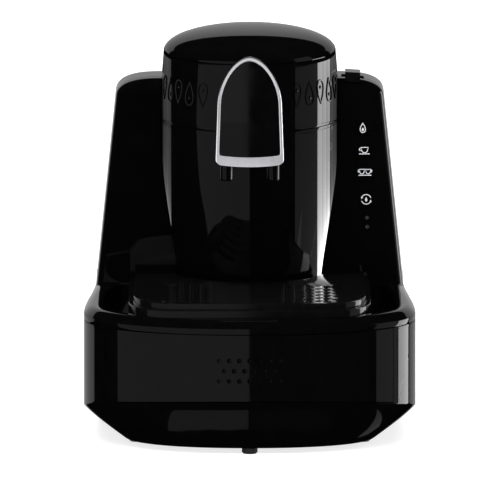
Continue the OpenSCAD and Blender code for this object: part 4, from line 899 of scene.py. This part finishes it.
def welt(outline, width):
    """Soft raised line along a closed outline on the collar."""
    rings = []
    for k, (a, z) in enumerate(outline):
        (a0, z0), (a1, z1) = outline[k - 1], outline[(k + 1) % len(outline)]
        du, dv = math.radians(a1 - a0) * TOWER_R, z1 - z0
        shift = width / 2 / math.hypot(du, dv)
        turn = math.degrees(dv * shift / TOWER_R)
        rings.append([on_collar(a + side * turn, z - side * du * shift, out) for side, out in (
            (-1, -0.3), (-0.85, 0.1), (-0.45, RAISED), (0.45, RAISED), (0.85, 0.1), (1, -0.3))])
    return sleeve(rings + rings[:1])


def bead(angle, z, radius):
    """Small raised dot on the collar."""
    rows = ((1, -0.3), (0.95, 0.3 * RAISED), (0.7, 0.8 * RAISED), (0.35, RAISED))
    degrees = math.degrees(1 / TOWER_R)
    return sleeve([[on_collar(u, v, out) for u, v in circle(angle, z, radius * r, 12, degrees)]
                   for r, out in rows], True)


def ornament():
    """Generic band of drop-shaped leaves, tip up and tip down in turn, on both sides of the spout."""
    parts = []
    for side in (-1, 1):
        for k in range(5):
            angle = side * (32 + 10.4 * k)
            way = 1 if k % 2 else -1
            parts += [welt(leaf(angle, BAND_Z, way), 1.3), bead(angle, BAND_Z - way * 3.2, 1.3)]
    return joined(*parts)


def along_x(outline, low, high):
    """A bar along x with rounded ends; outline(inset) gives its (y, z) points."""
    soft = 0.3
    ends = ((low, soft), (low + soft * 0.3, soft * 0.3), (low + soft, 0),
            (high - soft, 0), (high - soft * 0.3, soft * 0.3), (high, soft))
    return skin([[(x, y, z) for y, z in outline(inset)] for x, inset in ends])


def ear(inset):
    """The collar's knuckle, with a foot on its ledge."""
    r, foot = KNUCKLE_R - inset, HINGE_Z - EAR_DEEP + inset
    return curve(HINGE_Y, HINGE_Z, r, r, 0, 180) + [(HINGE_Y - r, foot), (HINGE_Y + r, foot)]


def lug(inset):
    """The lid's knuckle, which reaches up into the dome."""
    r, top = KNUCKLE_R - inset, LID_SEAM + 1.4 - inset
    return curve(HINGE_Y, HINGE_Z, r, r, 180, 360) + [(HINGE_Y + r, top), (HINGE_Y - r, top)]


def pin_bore(gap):
    return round_bar(PIN_R + gap, -LUG_W, LUG_W, (HINGE_Y, HINGE_Z), facing_side)


def make_tower():
    line = tower_line(CROWN_Z, COLLAR_Z - 0.01, 60)
    piece("tower_skin", turned(line + [(r - WALL, z) for r, z in reversed(line)]), "tower_shell")


def make_collar():
    """Ring over the seam, with the pot's ledge, the hinge's ears and the notch for the lid's lug."""
    line = tower_line(COLLAR_Z + SEAM, LID_SEAM - 0.2, 26)
    inner = [(r - WALL, z) for r, z in reversed(line)]
    wall_r = tower_rad(LEDGE_Z) - WALL
    ledge = [(wall_r, LEDGE_Z), (LEDGE_R + 0.3, LEDGE_Z), (LEDGE_R, LEDGE_Z - 0.3),
             (LEDGE_R, LEDGE_Z - LEDGE_T), (wall_r, LEDGE_Z - LEDGE_FOOT)]
    above = [point for point in inner if point[1] > LEDGE_Z + 0.2]
    below = [point for point in inner if point[1] < LEDGE_Z - LEDGE_FOOT - 0.2]
    collar = piece("collar_skin", turned(line + above + ledge + below), "tower_collar")
    cut(collar, [along_x(ear, low, low + EAR_W) for low in (EAR_X, -EAR_X - EAR_W)], "UNION", 35)
    open_z = LID_SEAM + 1
    notch = block((-EAR_X, HINGE_Y - EAR_DEEP, HINGE_Z - KNUCKLE_R - 1), (EAR_X, HINGE_Y + EAR_DEEP, open_z))
    room = block((-LUG_W, HINGE_Y - EAR_DEEP - 2, LEDGE_Z), (LUG_W, HINGE_Y - KNUCKLE_R - 1.2, open_z))
    for solid in (notch, room, pin_bore(0)):
        cut(collar, [solid], smooth=35)
    piece("collar_band", ornament(), "tower_collar", stands=False)


def dome_point(inset, along):
    """(radius, z) on the dome, from its edge at 0 to its top at 1."""
    c, s = oval(along, DOME_BEND)
    return max(0.001, (LID_R - inset) * c), LID_Z + (DOME_H - inset) * s


def make_lid():
    """Double dome with a rounded edge, a rib for the seal and the lug of the hinge."""
    rim = 0.6
    shares = spaced(0, 1, 48)
    dome = [dome_point(0, share) for share in shares[1:]]
    under = [dome_point(WALL, share) for share in reversed(shares)]
    edge = [(LID_R - WALL, LID_Z), (LID_R - rim, LID_Z), (LID_R - 0.15 * rim, LID_Z + 0.25 * rim)]
    lid = piece("lid_dome", turned(edge + dome + under), "lid")
    rib_out, rib_in = seal_high.x, seal_high.x - 4
    rib = [(rib_in, seal_high.z), (rib_out, seal_high.z), (rib_out, LID_SEAM + 5.5), (rib_in, LID_SEAM + 8.4)]
    cut(lid, [turned(rib)], "UNION")
    cut(lid, [along_x(lug, -LUG_W / 2, LUG_W / 2)], "UNION")
    cut(lid, [pin_bore(0.05)], smooth=35)


# ---- wings of the rear housing
WING_Y = wing_low.y
WING_BACK = wing_high.y
WING_TOP = wing_high.z
WING_FOOT = 107.5
WING_CREST = 92.75
WING_R = 12
CORNER_W = 30
CORNER_BEND = 2.2
CORNER_N = 20
SIDE_N = 14
TOP_N = 8
CREST_D = 30
CREST_FALL = 0.2
CREST_SOFT = 5
WING_FOOT_Z = RIM_Z - 1
GROOVE = 0.8
GROOVE_Y = 4.5
LEAN = (WING_FOOT - WING_CREST) / (WING_TOP - CROWN_Z)

SLOT_LOW, SLOT_HIGH = (64.3, 33.5, 132), (80.3, 45.5, 250)
KEY_W = 12
KEY_H = 10.5
KEY_GAP = 0.2
KEY_R = 1.6
LENS_R = 1.5
LENS_PLACES = ((lens_low.x + LENS_R, lens_high.z - LENS_R), (lens_high.x - LENS_R, lens_low.z + LENS_R))


def wing_half(z):
    return WING_FOOT - LEAN * (z - CROWN_Z)


def crest_drop(y):
    """How far the wings' top lies under its crest, falling softly towards the back."""
    past = y - WING_Y - CREST_D
    if past <= -CREST_SOFT:
        return 0
    if past >= CREST_SOFT:
        return CREST_FALL * past
    return CREST_FALL * (past + CREST_SOFT) ** 2 / (4 * CREST_SOFT)


def wing_line(z_top, inset):
    """Right half of the wings' outline seen from the front; inset(k) is each point's own inset."""
    corner_z = z_top - WING_R
    corner_x = wing_half(corner_z) - CORNER_W
    half = [(wing_half(z) - inset(0), z) for z in spaced(WING_FOOT_Z, corner_z, SIDE_N)[:-1]]
    for along in spaced(0, 1, CORNER_N):
        c, s = oval(along, CORNER_BEND)
        half.append((corner_x + (CORNER_W - inset(along)) * c, corner_z + (WING_R - inset(along)) * s))
    return half + [(x, z_top - inset(1)) for x in spaced(corner_x, 0, TOP_N)[1:]]


def wing_loop(y, turn, soft, back=False, dent=0):
    """Closed ring of the wings; turn runs over the rounded edge, from the face at 0 to the sides at 1.

    soft holds the edge's radius at the sides, at the upper corner and at the top.
    """
    a = math.pi / 2 * turn
    side, corner, top = soft

    def radius(along):
        return side + (top - side) * along + (corner - (side + top) / 2) * math.sin(math.pi * along) ** 2

    line = wing_line(WING_TOP - crest_drop(y), lambda along: radius(along) * (1 - math.sin(a)) + dent)
    shares = [0] * SIDE_N + spaced(0, 1, CORNER_N) + [1] * TOP_N
    way = -1 if back else 1
    ring = [(x, y + way * radius(share) * (1 - math.cos(a)), z) for (x, z), share in zip(line, shares)]
    return ring + [(-x, far, z) for x, far, z in reversed(ring[:-1])]


def tower_cutter(gap, top):
    """Solid of the tower, grown by gap, that reaches up to top."""
    low = CROWN_Z - 9
    line = [(tower_rad(z) + gap, z) for z in spaced(CROWN_Z, top, 70)]
    return turned([(0.001, low), (FOOT_R + gap, low)] + line + [(0.001, top)])


def key_centre(node):
    low, high = box_mm(node)
    return (low.x + high.x) / 2, low.y, (low.z + high.z) / 2


def key_tile(node, grow, steps=4):
    """Outline of a key, moved out by grow."""
    x, _, z = key_centre(node)
    u, v = KEY_W / 2 + grow, KEY_H / 2 + grow
    return round_tile(x - u, x + u, z - v, z + v, KEY_R + max(0, grow), steps)


def make_wings():
    """Both wings and the face between them, grooved at the top, with holes for keys, lenses and spoon."""
    soft = (5, 9, 8)
    back = (1.5, 1.5, 1.5)
    rings = [wing_loop(WING_Y, turn, soft) for turn in spaced(0, 1, 7)]
    rings += [wing_loop(WING_Y + GROOVE_Y + far, 1, soft, dent=deep)
              for far, deep in ((0, 0), (0.5, GROOVE), (0.9, GROOVE), (1, 0))]
    rings += [wing_loop(WING_Y + CREST_D + CREST_SOFT * k, 1, soft)
              for k in (-4, -3, -1, -0.5, 0, 0.5, 1, 3, 5)]
    rings += [wing_loop(WING_BACK, turn, back, True) for turn in (1, 0.66, 0.33, 0)]
    wings = piece("wing_shell", skin(rings), "rear_housing")
    narrow = 1 - WALL / 100
    over_foot = 150
    inner = [
        [(x * narrow, y, z - WALL * (z > over_foot)) for x, _, z in wing_loop(y, 1, soft, dent=deep)]
        for y, deep in ((WING_Y + WALL, 5), (WING_Y + WALL + 9, GROOVE), (WING_Y + CREST_D, GROOVE),
                        (WING_BACK + 1, 0))]
    holes = [prism(key_tile(node, KEY_GAP), key_centre(node)[1] - 5, key_centre(node)[1] + 6, facing_front)
             for node in SIGNS]
    holes += [round_bar(LENS_R + 0.05, WING_Y - 3, WING_Y + 6, place, facing_front) for place in LENS_PLACES]
    cut(wings, [skin(inner), tower_cutter(SEAM, WING_TOP + 20), joined(*holes)])
    cut(wings, [block(SLOT_LOW, SLOT_HIGH)])
    weighted(wings)


# ---- keys and their signs
SIGN_LINE = 0.6
SIGN_LEAN = 0.048
SAUCER_Z = -2.4


def ribbon(points, closed=False):
    """Flat line of even width through points in the sign's plane."""
    n = len(points)
    left, right = [], []
    for k, (u, v) in enumerate(points):
        before = points[(k - 1) % n] if closed or k else points[0]
        after = points[(k + 1) % n] if closed or k < n - 1 else points[-1]
        du, dv = after[0] - before[0], after[1] - before[1]
        shift = SIGN_LINE / 2 / (math.hypot(du, dv) or 1)
        left.append((u - dv * shift, v + du * shift))
        right.append((u + dv * shift, v - du * shift))
    faces = [(k, (k + 1) % n, n + (k + 1) % n, n + k) for k in range(n if closed else n - 1)]
    return left + right, faces


def drop_line(width, low, high):
    half = (high - low) / 2
    return [(width * math.sin(a) * (1 - math.cos(a)) ** 0.5 / 1.25, low + half * (1 + math.cos(a)))
            for a in spaced(0, 2 * math.pi, 28)[:-1]]


def cup_lines(cx, wide, tall, way):
    """Line drawing of a cup, with its handle at the right for way 1 and at the left for -1."""
    low = SAUCER_Z + 1
    right = [(wide * 0.2, low), (wide * 0.36, low + tall * 0.25), (wide / 2, low + tall)]
    bowl = [(cx - u, v) for u, v in reversed(right)] + [(cx + u, v) for u, v in right]
    handle = [(cx + way * u, v) for u, v in
              curve(wide * 0.47, low + tall * 0.62, wide * 0.24, tall * 0.27, 85, -85, 10)]
    return [ribbon(bowl, True), ribbon(handle)]


def saucer(x0, x1):
    return [ribbon([(x0, SAUCER_Z), (x1, SAUCER_Z)])]


def clean_sign():
    """Two arrows that chase each other round a circle, with a drop between them."""
    r, barb = 3.4, 0.9
    parts = [patch(drop_line(0.95, -1.6, 1.7))]
    for turn in (0, 180):
        a = math.radians(turn + 150)
        tip = math.radians(turn + 176)
        parts.append(ribbon(curve(0, 0, r, r, turn + 20, turn + 150, 18)))
        parts.append(patch([((r - barb) * math.cos(a), (r - barb) * math.sin(a)),
                            ((r + barb) * math.cos(a), (r + barb) * math.sin(a)),
                            (r * math.cos(tip), r * math.sin(tip))]))
    return parts


# A drop in a drop for slow brewing, a cup, two cups, and arrows for cleaning
SIGNS = {
    "slow_key": [ribbon(drop_line(2.1, -3.2, 3.4), True), patch(drop_line(1.0, -2.2, 0.4))],
    "one_cup_key": cup_lines(0.5, 5.2, 3.6, -1) + saucer(-3.4, 4.1),
    "two_cup_key": cup_lines(-2.1, 3.7, 3.2, -1) + cup_lines(2.3, 3.7, 3.2, 1) + saucer(-4.4, 4.6),
    "clean_key": clean_sign()}


def make_keys():
    """Caps of the keys, with signs that follow the lean of the wing's side."""
    middle_z = sum(key_centre(node)[2] for node in SIGNS) / len(SIGNS)
    for node, sign in SIGNS.items():
        x, y, z = key_centre(node)
        rings = [[(u, y + depth, v) for u, v in key_tile(node, -inset, 6)]
                 for inset, depth in ((0.25, 0), (0.08, 0.08), (0, 0.25), (0, 3))]
        weighted(piece(node + "_cap", skin(rings), node, smooth=30))
        points, faces = joined(*sign)
        lean = SIGN_LEAN * (middle_z - z)
        spots = [(x + lean + u, y - 0.03, z + v) for u, v in points]
        piece(node + "_sign", (spots, faces), node, PRINT, stands=False)


def make_lenses():
    """Domed light guides, one in each hole under the keys."""
    r = LENS_R - 0.05
    profile = ((r, 6), (r, 0.35), (1.3, 0.12), (0.8, -0.02), (0.01, -0.06))
    for index, (x, z) in enumerate(LENS_PLACES):
        rings = [[(u, WING_Y + y, v) for u, v in circle(x, z, radius, 24)] for radius, y in profile]
        piece("lens_%d" % index, skin(rings), "led_lenses", LENS, stands=index == 0)


# ---- spout
SPOUT_Z = ring_low.z
SPOUT_TOP = ring_high.z
SPOUT_W = ring_high.x - ring_low.x - 0.9
FRAME_W = 2.3
FRAME_T = 4
BAR_H = 7.3
SPRING_Z = SPOUT_Z + 0.56 * (SPOUT_TOP - SPOUT_Z)
ARCH_BEND = 1.8
ARCH_DOWN = 1.8
BAR_BOW = 1.2
SPOUT_CORNER = 4.5
SIDE_LEAN = 0.031
APEX_THIN = 1.3
SPOUT_FOOT_Y = ring_low.y
APEX_Y = TOWER_Y - LID_R - FRAME_T - 1
PLATE_SET = 1.2
FOOT_N = 10


def spout_y(z):
    """Depth of the spout's front at a height; it leans back towards the lid."""
    s = max(0, (z - SPOUT_Z) / (SPOUT_TOP - SPOUT_Z))
    return SPOUT_FOOT_Y + (APEX_Y - SPOUT_FOOT_Y) * s ** 1.9


def upright(seen):
    """Height on the leaning front whose place in the camera's view is that of seen on an upright one."""
    z = seen
    for _ in range(20):
        z = seen - math.tan(ELEVATION) * (spout_y(z) - spout_y(SPRING_Z))
    return z


def arch_line(t, low):
    """Right half of the arch seen from the front, moved in by t; its foot, FOOT_N points long, is at low."""
    foot_w = SPOUT_W / 2 - t - SIDE_LEAN * (low - SPOUT_Z)
    spring_w = SPOUT_W / 2 - t - SIDE_LEAN * (SPRING_Z - SPOUT_Z)
    peak = SPOUT_TOP + math.tan(ELEVATION) * (APEX_Y - spout_y(SPRING_Z)) - ARCH_DOWN
    rise = peak - APEX_THIN * t - SPRING_Z
    r = max(2.2, SPOUT_CORNER - t)
    corner_z = low + BAR_BOW + r
    half = [((foot_w - r) * share, low + BAR_BOW * share ** 2) for share in spaced(0, 1, FOOT_N)[:-1]]
    half += curve(foot_w - r, corner_z, r, r, -90, 0, 10)
    half += list(zip(spaced(foot_w, spring_w, 14), spaced(corner_z, SPRING_Z, 14)))[1:-1]
    arch = [oval(share, ARCH_BEND) for share in spaced(0, 1, 40)]
    half += [(spring_w * c, upright(SPRING_Z + rise * s)) for c, s in arch]
    half[-1] = (0, half[-1][1])
    return half


def arch_ring(t, low, depth):
    """Closed ring of the arch at a depth behind the spout's front."""
    return both([(x, spout_y(z) + depth, z) for x, z in arch_line(t, low)])


def make_frame():
    """Plated band round the plate, rounded at its outer and inner edges."""
    soft = quarter(0.8, 4)
    section = [(0.2, FRAME_T, 0.2), (0, FRAME_T - 0.3, 0)]
    section += [(drop, inset, drop) for inset, drop in soft]
    section += [(FRAME_W - inset, drop, BAR_H - inset) for inset, drop in soft]
    section += [(FRAME_W, FRAME_T - 0.3, BAR_H), (FRAME_W - 0.2, FRAME_T, BAR_H - 0.2)]
    rings = [arch_ring(t, SPOUT_Z + low, depth) for t, depth, low in section]
    weighted(piece("spout_band", sleeve(rings + rings[:1]), "chrome_frame", CHROME, smooth=40))


def plate_sheet(outline, depth):
    """The plate's face at a depth behind the spout's front, in level rows."""
    foot = outline[:FOOT_N + 1]
    rows = [[(-x, z) for x, z in reversed(foot)] + foot[1:]]
    rows += [[(x * share, z) for share in spaced(-1, 1, 2 * FOOT_N)] for x, z in outline[FOOT_N + 1:]]
    return sheet([[(x, spout_y(z) + depth, z) for x, z in row] for row in rows])


def make_plate():
    """Slightly sunk black plate inside the band."""
    t, low = FRAME_W + 0.05, SPOUT_Z + BAR_H + 0.05
    fine = 0.15
    deep = PLATE_SET + 1.8
    rim = sleeve([arch_ring(t + fine, low + fine, PLATE_SET), arch_ring(t, low, PLATE_SET + fine),
                  arch_ring(t, low, deep)])
    face = plate_sheet(arch_line(t + fine, low + fine), PLATE_SET)
    piece("spout_panel", joined(rim, face, plate_sheet(arch_line(t, low), deep)), "spout_plate", smooth=30)


def make_spout():
    """Hood behind the band, from its back to the tower."""
    t = 0.5
    back = TOWER_Y - 20
    half = [(x, spout_y(z) + FRAME_T - 0.5, z) for x, z in arch_line(t, SPOUT_Z + t)]
    rings = [both([(x, y + (back - y) * f, z) for x, y, z in half]) for f in spaced(0, 1, 4)]
    hood = piece("spout_hood", skin(rings), "spout_housing")
    lid_r, low, top = LID_R + 0.8, LID_SEAM - 1.4, SPOUT_TOP + 5
    room = turned([(0.001, low), (lid_r, low), (lid_r, top), (0.001, top)])
    cut(hood, [tower_cutter(0.2, LID_SEAM), room])
    weighted(hood)


def make_nozzles():
    """Two spouts with a soft tip and a bore."""
    for node in ("left_nozzle", "right_nozzle"):
        low, high = box_mm(node)
        r = (high.x - low.x) / 2
        tip = low.z
        bore = r - 1.8
        profile = [(bore, high.z), (bore, tip + 0.3), (bore + 0.25, tip), (r - 1.05, tip),
                   (r - 0.7, tip + 0.12), (r - 0.2, tip + 0.75), (r, tip + 1.5), (r, high.z)]
        centre = ((low.x + high.x) / 2, (low.y + high.y) / 2)
        piece(node + "_tube", turned(profile, centre, 64), node)


# ---- carried-over solids
SPOON_TIP = 12
SPOON_CUT = 2.0
SPOON_SLANT = 0.06

KEPT = (
    (DARK, ("bottom_plate", "inner_chassis", "manifold", "buzzer")),
    (STEEL, ("bottom_screws", "housing_screws", "lid_hinge_pin", "valve_spring", "tank_lid_pin")),
    (TURNED, ("guide_posts", "brew_pot", "valve_plunger")),
    (SILICONE, ("lid_seal", "inlet_hose", "outlet_hose")),
    (BRASS, ("thermal_sensor", "valve_body")),
    (RUBBER, ("pump_mounts", "rubber_feet")),
    (WHITE, ("tank_valve", "tank_filter")),
    (BOARD, ("key_board", "power_board")),
    (CAST, ("heater_plate",)), (COIL, ("solenoid",)), (LACQUER, ("pump",)))


def cut_spoon(mesh):
    """Lowers the tip of the spoon's handle to a slant."""
    low, high = box_mm("spoon")
    for vert in mesh.vertices:
        if vert.co.z > (high.z - SPOON_TIP) * MM:
            vert.co.z -= SPOON_CUT * MM + SPOON_SLANT * (vert.co.x - low.x * MM)


def dressed(node, mat, radius=0.4, change=None):
    """The node's own shape with soft edges, as a piece that replaces it."""
    mesh = frame["nodes"][node].data.copy()
    if change:
        change(mesh)
    soft = bmesh.new()
    soft.from_mesh(mesh)
    bmesh.ops.remove_doubles(soft, verts=soft.verts, dist=0.005 * MM)
    bmesh.ops.dissolve_limit(soft, angle_limit=math.radians(1), verts=soft.verts, edges=soft.edges)
    soft.to_mesh(mesh)
    soft.free()
    mesh.materials.clear()
    mesh.materials.append(mat)
    obj = new_object(node + "_shell", mesh)
    bevel = obj.modifiers.new("bevel", "BEVEL")
    bevel.width = radius * MM
    bevel.segments = 2
    bevel.limit_method = "ANGLE"
    bevel.angle_limit = math.radians(32)
    bevel.use_clamp_overlap = True
    apply_modifiers(obj)
    shade(obj, 35)
    weighted(obj)
    settle(obj, node)


def make_kept():
    """Finishes for the nodes that stay as they are."""
    for mat, nodes in KEPT:
        for node in nodes:
            for slot in frame["nodes"][node].material_slots:
                slot.material = mat


make_camera()
make_world()
make_panels(MATT_PANELS, False)
make_panels(GLOSS_PANELS, True)
make_hull_cards()
make_floor()
bpy.context.scene.view_settings.view_transform = "Standard"

make_base()
make_deck()
make_platform()
make_drawer()
make_tower()
make_collar()
make_lid()
make_wings()
make_keys()
make_lenses()
make_frame()
make_plate()
make_spout()
make_nozzles()
for shown, finish in (("waste_tray", DARK), ("back_panel", MATT), ("tank_seat", DARK), ("switch_frame", MATT),
                      ("switch_rocker", SATIN), ("cord_gland", RUBBER)):
    dressed(shown, finish)
dressed("spoon", SATIN, change=cut_spoon)
dressed("tank_lid", GLOSS)
dressed("water_tank", SMOKE, 0.5)
make_kept()

make_tower_cards()
aim_lamps()
